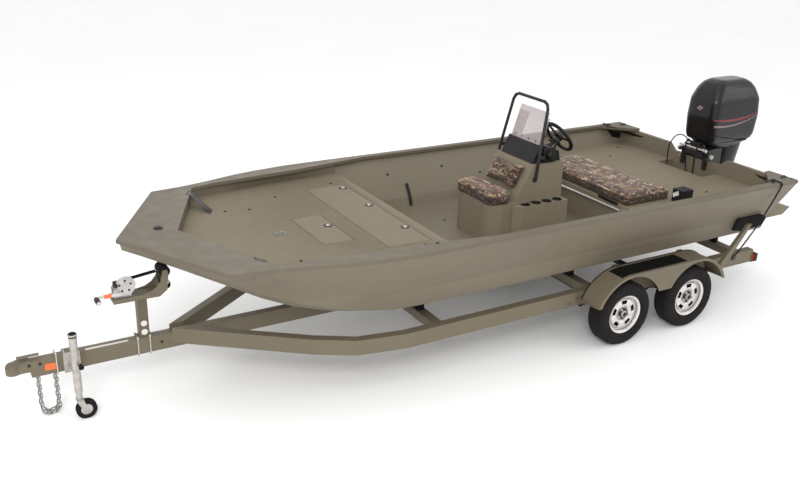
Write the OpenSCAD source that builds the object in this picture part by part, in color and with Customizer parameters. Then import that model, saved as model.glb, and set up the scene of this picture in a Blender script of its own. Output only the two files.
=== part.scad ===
// Open jon boat with a centre console on its tandem-axle trailer, in millimetres.
// X runs forward to the coupler, Y to port, Z up from the ground.

/* [Hull] */
// Length of the hull from transom to bow tip
boat_len = 6120; // [6000:20:6260]
// Greatest width over the hull sides
beam = 2440; // [2400:10:2460]
// Width of the bottom between the chines
bottom_w = 1830; // [1780:10:1860]
// Height of the flat bottom above the ground, on the bunks
bottom_z = 700; // [690:5:720]
// Height of the gunwale top above the flat bottom
hull_depth = 610; // [590:5:630]
// Thickness of the hull sides with their inner liner
side_t = 14; // [10:1:20]
// Thickness of the gunwale cap
cap_t = 30; // [20:2:36]
// Height of the cockpit floor above the bottom
floor_h = 110; // [90:5:130]
// Height of the front deck above the bottom
deck_h = 500; // [480:5:520]
// Thickness of the front deck plate
deck_t = 20; // [16:1:26]
// Distance of the front deck's aft edge from the transom
deck_x = 3760; // [3740:5:3780]
// Depth of the deck lockers below the deck plate
locker_d = 220; // [180:10:240]
// Thickness of the transom
transom_t = 44; // [36:2:56]
// Height of the transom at the motor above the bottom
transom_h = 508; // [490:2:520]
// Half width of the motor notch in the transom
notch_w = 400; // [380:5:430]
// Drop of the transom top below the gunwale top
transom_drop = 30; // [30:2:44]
// Width that each side of the motor notch slopes in
notch_s = 90; // [70:5:110]
// Distance of the motor well's front edge from the transom's outer face
well_l = 265; // [255:5:300]
// Length of the float pods behind the transom
pod_l = 320; // [280:10:340]
// Height of the float pods at the transom
pod_h = 160; // [140:5:180]

/* [Hatches] */
// Length of the long hatch fore and aft
hatch_l = 390; // [350:10:420]
// Width of the long hatch
hatch_w = 1560; // [1460:10:1580]
// Distance of the long hatch from the deck's aft edge
hatch_x = 95; // [80:5:120]
// Length of the small hatch fore and aft
small_l = 270; // [240:10:290]
// Width of the small hatch
small_w = 640; // [600:10:680]
// Offset of the small hatch from the centreline to port
small_y = 190; // [170:5:210]
// Distance between the two hatches
hatch_gap = 160; // [140:5:180]
// Thickness of the hatch lids
lid_t = 14; // [10:1:16]
// Gap round each hatch lid
lid_gap = 6; // [5:0.5:8]

/* [Benches and console] */
// Distance of the bench box's front from the transom
bench_x = 1680; // [1660:5:1700]
// Length of the bench box fore and aft
bench_l = 600; // [580:10:640]
// Gap between the bench and the hull's side
bench_gap = 395; // [370:1:420]
// Gap between the bench cushion and the stern box
box_gap = 22; // [15:1:40]
// Height of the bench box and rear deck above the bottom
bench_h = 410; // [390:5:430]
// Thickness of the bench cushion
cushion_t = 100; // [80:5:110]
// Distance of the console's aft face from the transom
console_x = 2120; // [2110:5:2150]
// Length of the console tower at its foot
console_l = 540; // [520:5:570]
// Half width of the console
console_w = 280; // [260:5:300]
// Height of the console above the cockpit floor
console_h = 690; // [670:5:710]
// Length of the seat box in front of the console
seat_l = 270; // [250:5:290]
// Half width of the seat pod of the console
seat_w = 315; // [300:5:325]
// Height of the seat box above the cockpit floor
seat_h = 365; // [345:5:385]
// Height of the cup ledge above the floor
ledge_h = 350; // [330:5:370]
// Thickness of the seat cushion
seat_t = 105; // [95:5:120]
// Radius of a cup holder
cup_r = 38; // [32:1:40]
// Depth of a cup holder
cup_d = 70; // [50:5:90]
// Width of the ledge that carries the cup holders
ledge_w = 105; // [100:5:120]
// Height of the black dash hood above the console
hood_h = 160; // [150:5:170]
// Height of the windshield above the hood
shield_h = 305; // [290:5:320]
// Half width of the windshield
shield_w = 205; // [195:5:215]
// Height of the grab rail above the console
grab_h = 565; // [545:5:580]
// Thickness of the windshield
shield_t = 8; // [6:1:10]
// Outer radius of the steering wheel
steer_r = 160; // [155:5:175]
// Rake of the steering wheel from the vertical
steer_a = 35; // [32:1:38]

/* [Outboard motor] */
// Length of the motor cowl
cowl_l = 720; // [700:5:740]
// Half width of the motor cowl
cowl_w = 205; // [190:5:215]
// Height of the upper cowl
cowl_h = 640; // [620:5:660]
// Height of the tilt tube above the transom's motor edge
tilt_h = 62; // [56:2:70]
// Distance of the tilt tube ahead of the transom's outer face
tilt_x = 60; // [50:2:70]
// Distance of the steering axis behind the tilt tube
steer_x = 215; // [205:5:225]
// Radius of the propeller
prop_r = 175; // [165:5:185]
// Highest trailering tilt of the motor
tilt_max = 64; // [55:1:64]

/* [Trailer] */
// Distance between the two axles
axle_gap = 812; // [800:4:860]
// Radius of a tyre
tyre_r = 302; // [296:2:308]
// Width of a tyre
tyre_w = 200; // [185:5:210]
// Distance from the centreline to the outer face of a tyre
track_w = 1196; // [1190:4:1230]
// Distance of the transom behind the middle of the axles
stern_x = 1660; // [1640:5:1680]
// Height of the frame rails' underside above the ground
rail_z = 385; // [380:1:392]
// Height of the frame rails
rail_h = 130; // [124:2:134]
// Width of the frame rails
rail_w = 76; // [70:2:80]
// Gap between a tyre and the rail beside it
rail_gap = 36; // [30:2:44]
// Distance of the coupler nose ahead of the middle of the axles
nose_x = 5336; // [5300:4:5360]
// Distance of the frame's split ahead of the middle of the axles
split_x = 4110; // [4090:5:4130]
// Thickness of a bunk board
bunk_t = 40; // [36:2:46]
// Distance of a bunk from the centreline
bunk_y = 560; // [540:5:600]
// Gap between a tyre and the fender's wheel arch
fender_gap = 70; // [60:2:76]
// Gap between a tyre and the fender's roof
roof_gap = 108; // [100:2:114]
// Radius of the jack wheel
jack_r = 77; // [72:1:80]
// Height of the winch post above the tongue
post_h = 350; // [330:5:370]
// Diameter of the chain wire
chain_d = 8; // [7:0.5:9]

/* [Hidden] */

khaki = "#8a826c";
frame_c = "#807660";
steel = "#c4c6c8";
black = "#1c1c1e";
lamp_red = "#a81812";

// Middle of the whole length, which the model is centred on
cowl_front = 30;
cowl_back = stern_x - tilt_x + cowl_l - cowl_front;
mid_x = (nose_x - cowl_back) / 2;
zg = bottom_z + hull_depth;
z_top = zg - cap_t;
z_floor = bottom_z + floor_h;
z_deck = bottom_z + deck_h;
z_well = z_deck - deck_t - locker_d;
z_bench = bottom_z + bench_h;

// Bow form against distance forward of the transom, as rise or inset
bow = boat_len - 6120;
keel_t = [[0, 0], [3960, 0], [4260, 2], [4560, 10], [4776, 25], [5060, 70], [5300, 140], [5500, 225], [5590, 268], [5800, 362], [5960, 450], [6090, 520], [6126, 540]];
chine_y_t = [[0, 0], [4560, 0], [4776, 6], [5060, 20], [5300, 38], [5500, 52], [5590, 58]];
chine_z_t = [[0, 15], [3960, 18], [4260, 30], [4560, 88], [4776, 140], [5060, 245], [5300, 350], [5500, 455], [5590, 498], [5800, 520], [5960, 536], [6126, 550]];
side_y_t = [[0, 0], [4060, 0], [4300, 9], [4560, 40], [4776, 80], [5060, 160], [5300, 218], [5500, 242], [5590, 250]];
bilge_t = [[0, 0], [4260, 0.1], [4776, 0.5], [5590, 0.8], [6126, 0.9]];
stations = [0, 2000, deck_x, 3960, 4260, 4560, 4776, 5060, 5300, 5500, 5590, 5800, 5960, 6090];
knee_x = 5590;
tip_x = 6120;
function taper(x) = x <= knee_x ? 1 : max(0.02, (tip_x - x) / (tip_x - knee_x));
function z_keel(x) = bottom_z + lookup(x, keel_t);
function y_chine(x) = (bottom_w / 2 - lookup(min(x, knee_x), chine_y_t)) * taper(x);
function z_chine(x) = bottom_z + lookup(x, chine_z_t);
function y_side(x) = (beam / 2 - lookup(min(x, knee_x), side_y_t)) * taper(x);
function y_bilge(x) = y_chine(x) - 110 * taper(x);
function z_bilge(x) = z_keel(x) + lookup(x, bilge_t) * (z_chine(x) - z_keel(x));
function z_knee(x) = z_chine(x) + 0.32 * (z_top - z_chine(x));
function y_knee(x) = y_chine(x) + 0.22 * (y_side(x) - y_chine(x));
// Half width of the hull at a height
function half_at(x, z) = z < z_knee(x) ? y_chine(x) + (y_knee(x) - y_chine(x)) * (z - z_chine(x)) / (z_knee(x) - z_chine(x)) : y_knee(x) + (y_side(x) - y_knee(x)) * (z - z_knee(x)) / (z_top - z_knee(x));
// Position of a station in the model
function px(x) = x - stern_x - mid_x + bow * (x > 2000 ? 1 : 0);
function ax(x) = x - mid_x;
function mirrored(p) = concat(p, [for (i = [len(p) - 1:-1:0]) if (p[i][1] > 0.001) [p[i][0], -p[i][1], p[i][2]]]);
function outer_section(x) = mirrored([[px(x), 0, z_keel(x)], [px(x), y_bilge(x), z_bilge(x)], [px(x), y_chine(x), z_chine(x)], [px(x), y_knee(x), z_knee(x)], [px(x), y_side(x), z_top]]);
function inner_section(x, z0) = let (zk = max(z_knee(x), z0 + 20)) [[px(x), half_at(x, z0) - side_t, z0], [px(x), half_at(x, zk) - side_t, zk], [px(x), y_side(x) - side_t, z_top], [px(x), y_side(x) - side_t, zg + 60], [px(x), side_t - y_side(x), zg + 60], [px(x), side_t - y_side(x), z_top], [px(x), side_t - half_at(x, zk), zk], [px(x), side_t - half_at(x, z0), z0]];

module loft(sections) {
    n = len(sections[0]);
    m = len(sections);
    polyhedron(points = [for (s = sections) for (p = s) p],
        faces = concat([[for (i = [0:n - 1]) i]], [[for (i = [n - 1:-1:0]) (m - 1) * n + i]],
            [for (j = [0:m - 2]) for (i = [0:n - 1]) let (a = j * n + i, b = j * n + (i + 1) % n) each [[a, a + n, b], [b, a + n, b + n]]]), convexity = 6);
}
module hull_form() loft([for (x = stations) outer_section(x)]);
module box(x0, x1, y0, y1, z0, z1) translate([x0, y0, z0]) cube([x1 - x0, y1 - y0, z1 - z0]);
module tube_y(x, y0, y1, z, r) translate([x, y0, z]) rotate([-90, 0, 0]) cylinder(h = y1 - y0, r = r, $fn = 48);
// Rectangle with round corners
module rounded(x0, x1, y0, y1, r) union() {
    translate([x0 + r, y0]) square([x1 - x0 - 2 * r, y1 - y0]);
    translate([x0, y0 + r]) square([x1 - x0, y1 - y0 - 2 * r]);
    for (x = [x0 + r, x1 - r], y = [y0 + r, y1 - r]) translate([x, y]) circle(r = r, $fn = 40);
}
module port_and_starboard() { children(); mirror([0, 1, 0]) children(); }

// Hull

module hull_bottom() color(khaki) intersection() {
    hull_form();
    union() {
        box(px(0), px(deck_x), -beam, beam, 0, z_floor);
        box(px(deck_x), px(tip_x), -beam, beam, 0, z_well);
    }
}
module hull_side() color(khaki) difference() {
    intersection() {
        hull_form();
        box(px(0), px(deck_x), 0, beam, z_floor, zg);
    }
    loft([for (x = [-10, 2000, deck_x + 10]) inner_section(x, z_floor - 0.01)]);
}
module side_port() hull_side();
module side_starboard() mirror([0, 1, 0]) hull_side();

hatch0 = deck_x + hatch_x;
hatch1 = hatch0 + hatch_l;
small0 = hatch1 + hatch_gap;
small1 = small0 + small_l;
module wells(z0, z1) {
    box(px(hatch0 + 15), px(hatch1 - 15), -hatch_w / 2 + 15, hatch_w / 2 - 15, z0, z1);
    box(px(small0 + 15), px(small1 - 15), small_y - small_w / 2 + 15, small_y + small_w / 2 - 15, z0, z1);
}
vee_x = 5660;
function deck_edge(x) = min(half_at(x, z_deck) - side_t, y_side(x) - side_t);
deck_stations = [deck_x, 4260, 4560, 4776, 5060, 5250];
module fore_hull() color(khaki) difference() {
    intersection() {
        hull_form();
        box(px(deck_x), px(tip_x), -beam, beam, z_well, zg);
    }
    deck_space(z_deck - deck_t, zg);
    wells(z_well - 1, z_deck);
}
module deck_space(z0, z1) translate([0, 0, z0]) linear_extrude(z1 - z0) deck_outline(0);
module deck_outline(g) polygon(concat([for (x = deck_stations) [px(x), deck_edge(x) - g]], [[px(vee_x) - g, 0]], [for (i = [len(deck_stations) - 1:-1:0]) [px(deck_stations[i]), g - deck_edge(deck_stations[i])]]));
module front_deck() color(khaki) difference() {
    translate([0, 0, z_deck - deck_t]) linear_extrude(deck_t) deck_outline(0);
    wells(z_deck - deck_t - 1, z_deck + 1);
    hatch_cut(hatch0, hatch1, 0, hatch_w);
    hatch_cut(small0, small1, small_y, small_w);
}
module hatch_cut(x0, x1, yc, w) box(px(x0), px(x1), yc - w / 2, yc + w / 2, z_deck - lid_t - 1, z_deck + 1);
// Lid with its hinge barrel along the forward edge
module lid(x0, x1, yc, w) union() {
    box(px(x0) + lid_gap, px(x1) - lid_gap, yc - w / 2 + lid_gap, yc + w / 2 - lid_gap, z_deck - lid_t - 0.7, z_deck);
    tube_y(px(x1) - lid_gap, yc - w / 2 + 30, yc + w / 2 - 30, z_deck, 4);
}
module hatch_large() color(khaki) lid(hatch0, hatch1, 0, hatch_w);
module hatch_small() color(khaki) lid(small0, small1, small_y, small_w);

// Gunwale width against distance from the transom
cap_w_t = [[0, 62], [3460, 62], [3930, 130], [4380, 172], [4776, 130], [5060, 80], [5250, 82]];
cap_stations = [0, 3460, 3930, 4260, 4560, 4776, 5060, 5250];
module gunwale() color(khaki) {
    translate([0, 0, z_top]) linear_extrude(cap_t) polygon(concat([for (x = cap_stations) [px(x), y_side(x) + 6]], [for (i = [len(cap_stations) - 1:-1:0]) [px(cap_stations[i]), y_side(cap_stations[i]) - lookup(cap_stations[i], cap_w_t)]]));
    translate([0, 0, z_top]) linear_extrude(cap_t) polygon([[px(0), y_side(0) - 62], [px(330), y_side(0) - 62], [px(60), y_side(0) - 330], [px(0), y_side(0) - 330]]);
}
module gunwale_port() gunwale();
module gunwale_starboard() mirror([0, 1, 0]) gunwale();
module bow_plate() color(khaki) translate([0, 0, z_top]) linear_extrude(cap_t) polygon([[px(5250), y_side(5250) + 6], [px(5300), y_side(5300) + 6], [px(knee_x), y_side(knee_x) + 6], [px(tip_x) + 6, 0], [px(knee_x), -y_side(knee_x) - 6], [px(5300), -y_side(5300) - 6], [px(5250), -y_side(5250) - 6], [px(5250), 82 - y_side(5250)], [px(vee_x), 0], [px(5250), y_side(5250) - 82]]);

// Cross-section inside the hull sides between two heights, across and up
function inner_y(z) = half_at(0, z) - side_t - 0.8;
module inner_profile(z0, z1) polygon([[inner_y(z0), z0], [inner_y(z_knee(0)), z_knee(0)], [inner_y(z1), z1], [-inner_y(z1), z1], [-inner_y(z_knee(0)), z_knee(0)], [-inner_y(z0), z0]]);
z_motor = bottom_z + transom_h;
module transom() color(khaki) {
    translate([px(0), 0, 0]) rotate([90, 0, 90]) linear_extrude(transom_t) difference() {
        inner_profile(z_floor, z_top);
        polygon([[notch_s - notch_w, z_motor], [notch_w - notch_s, z_motor], [notch_w, z_top + 1], [-notch_w, z_top + 1]]);
    }
    port_and_starboard() translate([0, bottom_w / 2 + 60, 0]) rotate([90, 0, 0]) linear_extrude(bottom_w / 2 - notch_w) polygon([[px(0), z_pod], [px(0), z_pod + pod_h], [px(-pod_l), z_pod + pod_h * 0.42], [px(-pod_l + 100), z_pod]]);
}
z_pod = bottom_z + 145;

module rear_deck() color(khaki) difference() {
    translate([px(transom_t), 0, 0]) rotate([90, 0, 90]) linear_extrude(bench_x - transom_t) inner_profile(z_floor, z_bench);
    box(px(transom_t) - 1, px(well_l), notch_s - notch_w, notch_w - notch_s, z_bench - 120, z_bench + 1);
}
// Half width of the bench, from the hull's side
bench_w = half_at(0, z_bench) - bench_gap;
module bench_cushion() color("#6f5b3c") translate([0, 0, z_bench]) linear_extrude(cushion_t) rounded(px(bench_x - bench_l), px(bench_x), -bench_w + 20, bench_w - 20, 45);
module bench_rod() color(steel) {
    tube_y(px(bench_x + 30), 20 - bench_w, bench_w - 20, z_bench - 40, 12);
    for (y = [30 - bench_w, bench_w - 60]) box(px(bench_x), px(bench_x + 46), y, y + 30, z_bench - 58, z_bench - 22);
}

// Console

front_x = console_x + console_l + seat_l;
ledge_x = console_x + console_l - 20;
module console_body() color(khaki) difference() {
    union() {
        translate([0, 0, z_floor]) linear_extrude(seat_h) union() {
            rounded(px(console_x + console_l - 250), px(front_x), 10 - seat_w, seat_w - 10, 130);
            translate([px(console_x), -console_w]) square([console_l, 2 * console_w]);
        }
        translate([0, 0, z_floor]) linear_extrude(ledge_h) polygon([[px(console_x), 0], [px(console_x), console_w + ledge_w], [px(ledge_x), console_w + ledge_w], [px(ledge_x + 60), seat_w], [px(ledge_x + 60), 0]]);
        translate([0, console_w, 0]) rotate([90, 0, 0]) linear_extrude(2 * console_w) polygon([[px(console_x), z_seat - 1], [px(console_x + console_l), z_seat - 1], [px(console_x + console_l), z_seat], [px(console_x + 350), z_con], [px(console_x + 10), z_con]]);
    }
    for (i = [0:3]) translate([px(console_x + 88 + 122 * i), console_w + ledge_w / 2, z_ledge - cup_d]) cylinder(h = cup_d + 1, r = cup_r, $fn = 48);
    box(px(console_x) - 40, px(console_x + 200), -console_w + 60, console_w - 60, z_floor + 20, z_floor + 360);
}
z_con = z_floor + console_h;
z_seat = z_floor + seat_h;
z_ledge = z_floor + ledge_h;
module console_seat() color("#6f5b3c") translate([0, 0, z_seat]) linear_extrude(seat_t) rounded(px(console_x + console_l + 1), px(front_x + 30), 6 - seat_w, seat_w - 6, 100);
x_face = function(z) px(console_x + console_l) - (console_l - 350) * (z - z_seat) / (z_con - z_seat);
module console_backrest() color("#6f5b3c") translate([0, console_w * 0.75, 0]) rotate([90, 0, 0]) linear_extrude(console_w * 1.5) polygon([[x_face(z_seat + seat_t + 1) + 1, z_seat + seat_t + 1], [x_face(z_seat + seat_t + 1) + 78, z_seat + seat_t + 1], [x_face(z_con - 20) + 78, z_con - 20], [x_face(z_con - 20) + 1, z_con - 20]]);
module dash() color(black) {
    translate([0, shield_w + 30, 0]) rotate([90, 0, 0]) linear_extrude(2 * shield_w + 60) polygon([[px(console_x + 340), z_con], [px(console_x + 262), z_con + hood_h], [px(console_x + 225), z_con + hood_h], [px(console_x + 40), z_con + 90], [px(console_x + 15), z_con]]);
    at_wheel() translate([0, 0, -column_l - 74.3]) cylinder(h = 74, r = 28, $fn = 48);
}
module windshield() color("#3a3a3c") difference() {
    translate([px(console_x + 260), 0, z_con + hood_h]) rotate([0, -18, 0]) {
        translate([-shield_t, -shield_w, -12]) cube([shield_t, 2 * shield_w, shield_h + 12]);
        port_and_starboard() translate([-shield_t, shield_w - 1, -12]) rotate([0, 0, 40]) translate([-90, 0, 0]) cube([90, shield_t, shield_h - 40]);
    }
    box(px(console_x), px(console_x + 400), -beam, beam, z_floor, z_con + hood_h);
}
module grab_rail() color(black) {
    r = 14;
    y1 = console_w - 35;
    foot = [px(console_x + 330), console_w + r + 0.3, z_con - 130];
    bend = [px(console_x + 315), console_w + r + 0.3, z_con + 30];
    head = [px(console_x + 217), y1, z_con + grab_h - r];
    d = (head - bend) / norm(head - bend);
    c = 60;
    path = [foot, bend, head - c * d, head - 0.293 * c * (d + [0, 1, 0]), head - [0, c, 0]];
    port_and_starboard() {
        for (i = [0:3]) rod(path[i], path[i + 1], r);
        for (i = [1:4]) translate(path[i]) sphere(r = r + 1, $fn = 24);
    }
    rod([path[4][0], -path[4][1], path[4][2]], path[4], r);
}
// Round bar between two points
module rod(a, b, r) {
    d = b - a;
    l = norm(d);
    translate(a) rotate([0, acos(d[2] / l), atan2(d[1], d[0])]) cylinder(h = l, r = r, $fn = 32);
}
column_l = 140;
module at_wheel() translate([px(console_x - 150), 0, z_con + 146]) rotate([0, -90 + steer_a, 0]) children();
module steering_wheel() color(black) at_wheel() {
    rotate_extrude($fn = 64) translate([steer_r - 14, 0]) circle(r = 14, $fn = 24);
    for (a = [90, 210, 330]) rotate([0, 0, a]) translate([0, -14, -8]) cube([steer_r - 14, 28, 12]);
    cylinder(h = 24, r = 46, center = true, $fn = 48);
    translate([0, 0, -column_l]) cylinder(h = column_l, r = 20, $fn = 32);
}
// Rack that leans on the inside of the far side
rack_x = 3010;
function rack_y(z) = side_t + 2.7 - half_at(rack_x + 14, z);
module side_rack() color(black) translate([px(rack_x + 14), 0, 0]) rotate([90, 0, -90]) linear_extrude(28) mirror([1, 0, 0]) polygon([for (h = [10, 75, 140, 206]) [rack_y(z_floor + h), z_floor + h], for (h = [206, 140, 75, 10]) [rack_y(z_floor + h) + 16, z_floor + h]]);
stern_y = bench_w - 20 + box_gap + 123;
module stern_box() color(black) box(px(bench_x - bench_l - 90), px(bench_x - bench_l + 50), bench_w - 20 + box_gap, stern_y, z_bench, z_bench + 125);

// Outboard motor

z_tilt = bottom_z + transom_h + tilt_h;
x_tilt = px(tilt_x);
x_steer = x_tilt - steer_x;
module motor_bracket() color(black) {
    union() {
        port_and_starboard() translate([0, 165, 0]) rotate([90, 0, 0]) linear_extrude(35) polygon([[px(0) - 0.1, bottom_z + 230], [px(0) - 60, bottom_z + 270], [px(0) - 70, z_tilt - 110], [x_tilt - 42, z_tilt + 30], [x_tilt + 30, z_tilt + 36], [px(transom_t) + 40, z_tilt - 10], [px(transom_t) + 40, z_tilt - 150], [px(transom_t) + 0.1, z_tilt - 150], [px(transom_t) + 0.1, bottom_z + transom_h + 0.2], [px(0) - 0.1, bottom_z + transom_h + 0.2]]);
        box(px(0) - 40, px(0) - 0.1, -165, 165, bottom_z + 230, bottom_z + 262);
    }
    tube_y(x_tilt, -205, 205, z_tilt, 20);
}
module motor_swivel() color(black) difference() {
    translate([0, 124, 0]) rotate([90, 0, 0]) linear_extrude(248) polygon([[x_tilt + 30, z_tilt - 26], [x_tilt + 30, z_tilt + 26], [x_steer + 50, z_tilt + 50], [x_steer - 50, z_tilt + 50], [x_steer - 50, z_tilt - 330], [x_steer + 60, z_tilt - 330], [px(0) - 76, z_tilt - 110], [x_tilt - 30, z_tilt - 30]]);
    tube_y(x_tilt, -130, 130, z_tilt, 20.05);
    translate([x_steer, 0, z_tilt - 400]) cylinder(h = 500, r = 24.05, $fn = 48);
}
z_cowl = z_tilt + 130;
// Cowl layers as height, front inset, back inset, share of the half width and corner radius
cowl_layers = [[0, 26, 52, 0.9, 70], [60, 12, 20, 0.97, 75], [250, 0, 0, 1, 80], [430, 8, 12, 0.97, 85], [540, 50, 66, 0.84, 90], [600, 100, 120, 0.68, 80], [cowl_h - 6, 170, 190, 0.46, 60]];
module motor_cowl() color(black) hull() for (p = cowl_layers) let (x1 = x_tilt + cowl_front - p[1] - p[4], x0 = x_tilt + cowl_front - cowl_l + p[2] + p[4], y = cowl_w * p[3] - p[4])
    for (x = [x0, x1], s = [-y, y]) translate([x, s, z_cowl + p[0]]) cylinder(h = 6, r = p[4], $fn = 32);
gear_z = z_tilt - 770;
module oval(x, z, a, b) translate([x_steer - x, 0, z]) scale([a, b, 1]) cylinder(h = 10, r = 1, $fn = 32);
module motor_leg() color("#3c3d40") {
    translate([x_steer, 0, z_tilt - 390]) cylinder(h = 440, r = 24, $fn = 48);
    hull() {
        for (s = [-1, 1]) translate([x_tilt + cowl_front - cowl_l + 160, s * 85, z_cowl - 10]) cylinder(h = 9.5, r = 95, $fn = 32);
        for (s = [-1, 1]) translate([x_tilt + cowl_front - 150, s * 75, z_cowl - 10]) cylinder(h = 9.5, r = 95, $fn = 32);
        oval(110, z_tilt + 56, 250, 130);
    }
    hull() {
        oval(250, z_tilt + 60, 170, 128);
        oval(232, z_tilt - 210, 150, 92);
    }
    hull() {
        oval(232, z_tilt - 212, 150, 92);
        oval(200, z_tilt - 585, 110, 45);
    }
    hull() for (x = [0, 160]) translate([x_steer - x, 0, z_tilt - 400]) cylinder(h = 50, r = 40, $fn = 32);
    translate([0, 0, z_tilt - 590]) linear_extrude(14) polygon([[x_steer - 40, 0], [x_steer - 110, 70], [x_steer - 340, 95], [x_steer - 420, 80], [x_steer - 420, -80], [x_steer - 340, -95], [x_steer - 110, -70]]);
    hull() {
        oval(190, z_tilt - 580, 110, 40);
        oval(180, gear_z, 100, 28);
    }
    translate([x_steer - 60, 0, gear_z]) rotate([0, -90, 0]) rotate_extrude($fn = 48) polygon([[0, 0], [28, 25], [48, 80], [55, 150], [52, 230], [45, 262], [0, 262]]);
    translate([0, 5, 0]) rotate([90, 0, 0]) linear_extrude(10) polygon([[x_steer - 110, gear_z], [x_steer - 150, gear_z - 190], [x_steer - 260, gear_z - 200], [x_steer - 300, gear_z - 60], [x_steer - 300, gear_z]]);
    translate([x_steer - 320, 0, gear_z]) rotate([0, -90, 0]) cylinder(h = 150, r = 12, $fn = 32);
}
module propeller() color(black) translate([x_steer - 328, 0, gear_z]) rotate([0, -90, 0]) {
    difference() {
        cylinder(h = 130, r = 46, $fn = 48);
        translate([0, 0, -1]) cylinder(h = 140, r = 12.05, $fn = 48);
    }
    for (a = [0:120:240]) rotate([0, 0, a]) intersection() {
        translate([40, 0, 62]) rotate([28, 0, 0]) translate([0, 0, -5]) linear_extrude(10) blade_outline();
        cylinder(h = 130, r = prop_r, $fn = 64);
    }
}
module blade_outline() union() {
    translate([(prop_r - 40) * 0.52, 0]) circle(r = 74, $fn = 48);
    translate([0, -46]) square([80, 92]);
}

// Trailer frame

module tongue() color(frame_c) {
    box(ax(cross_x[0] + 45), ax(nose_x - 170), -38, 38, rail_z - 38, rail_z - 38 + rail_h);
}
module rail() color(frame_c) translate([0, 0, rail_z]) linear_extrude(rail_h) polygon(concat([for (p = rail_path) [ax(p[0]), p[1]]], [for (i = [len(rail_path) - 1:-1:0]) [ax(rail_path[i][0] - rail_path[i][2] * rail_w), rail_path[i][1] - rail_path[i][3] * rail_w]]));
rail_y = track_w - tyre_w - rail_gap;
rail_path = [[-1560, rail_y, 0, 1], [2500, rail_y, 0, 1], [2900, rail_y * 0.927, 0.3, 0.95], [3200, rail_y * 0.75, 0.5, 0.87], [split_x, 38.2, 1.5, 0]];
module rail_port() rail();
module rail_starboard() mirror([0, 1, 0]) rail();
cross_x = [2140, 500, -1440];
module cross(x) color(frame_c) box(ax(x - 45), ax(x + 45), -rail_y + rail_w, rail_y - rail_w, rail_z + 20, rail_z + 96);
module cross_front() cross(cross_x[0]);
module cross_mid() cross(cross_x[1]);
module cross_rear() cross(cross_x[2]);
module bunk() color("#2b2b2b") {
    box(ax(-1500), ax(2350), bunk_y - 70, bunk_y + 70, bottom_z - bunk_t, bottom_z);
    for (x = cross_x) box(ax(x - 25), ax(x + 25), bunk_y - 30, bunk_y + 30, rail_z + 96, bottom_z - bunk_t);
}
module bunk_port() bunk();
module bunk_starboard() mirror([0, 1, 0]) bunk();
// Slanting post on the rail with its pad beside the hull
guide_y = half_at(400, bottom_z + 225) + 41;
module guide() color(frame_c) union() {
    box(ax(-1000), ax(-900), rail_y, guide_y + 1, rail_z + 40, rail_z + 100);
    translate([0, guide_y + 38, 0]) rotate([90, 0, 0]) linear_extrude(38) polygon([[ax(-900), rail_z + 40], [ax(-900), rail_z + 75], [ax(-1255), bottom_z + 170], [ax(-1305), bottom_z + 170], [ax(-960), rail_z + 40]]);
    translate([0, guide_y, 0]) rotate([90, 0, 0]) linear_extrude(33) polygon([[ax(-1100), bottom_z + 120], [ax(-1160), bottom_z + 222], [ax(-1480), bottom_z + 222], [ax(-1540), bottom_z + 185], [ax(-1480), bottom_z + 112], [ax(-1180), bottom_z + 108]]);
}
module guide_port() guide();
module guide_starboard() mirror([0, 1, 0]) guide();

z_tongue = rail_z - 38 + rail_h;
module winch_post() color(frame_c) union() {
    box(ax(4285), ax(4360), -38, 38, z_tongue, z_arm);
    box(ax(4265), ax(4380), -46, 46, z_tongue, z_tongue + 12);
    box(ax(4180), ax(4540), -64, 64, z_arm, z_arm + 30);
    for (y = [-71, 63]) translate([0, y + 8, 0]) rotate([90, 0, 0]) linear_extrude(8) polygon([[ax(4545), z_arm + 30], [ax(4540), z_arm - 4], [ax(4190), z_arm - 6], [ax(4130), z_arm + 40], [ax(roller_x - 26), z_roller - 14], [ax(roller_x - 16), z_roller + 18], [ax(roller_x + 18), z_roller + 16], [ax(4178), z_arm + 116], [ax(4215), z_arm + 72], [ax(4268), z_arm + 43], [ax(4330), z_arm + 32]]);
    tube_y(ax(roller_x), -71, 71, z_roller, 9.6);
}
z_arm = z_tongue + post_h;
roller_x = 4140;
roller_s = roller_x + stern_x;
roller_m = (z_keel(roller_s) - z_keel(roller_s - 60)) / 60;
z_roller = z_keel(roller_s) - 44.3 * sqrt(1 + roller_m * roller_m);
module bow_roller() color(black) difference() {
    tube_y(ax(roller_x), -60, 60, z_roller, 44);
    tube_y(ax(roller_x), -70, 70, z_roller, 10);
}
// Geared hand winch: frame, drum, gear, crank arm and grip
z_reel = z_arm + 115;
module winch() color(steel) union() {
    box(ax(4395), ax(4525), -45, 45, z_arm + 30, z_arm + 37);
    for (y = [-45, 38]) translate([0, y + 7, 0]) rotate([90, 0, 0]) linear_extrude(7) polygon([[ax(4395), z_arm + 30], [ax(4525), z_arm + 30], [ax(4525), z_arm + 95], [ax(4490), z_arm + 140], [ax(4425), z_arm + 145], [ax(4395), z_arm + 110]]);
    tube_y(ax(4455), -39, 39, z_reel, 32);
    tube_y(ax(4440), 44, 53, z_reel + 8, 74);
    tube_y(ax(4492), 44, 105, z_arm + 92, 10);
    box(ax(4480), ax(4684), 104, 112, z_arm + 80, z_arm + 104);
    tube_y(ax(4670), 111, 214, z_arm + 92, 17);
}
module winch_strap() color(black) translate([0, 25, 0]) rotate([90, 0, 0]) linear_extrude(50) polygon([[ax(4455), z_reel + 32.2], [ax(4455), z_reel + 36.2], [ax(4192), z_reel + 68], [ax(4192), z_reel + 64]]);
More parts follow.
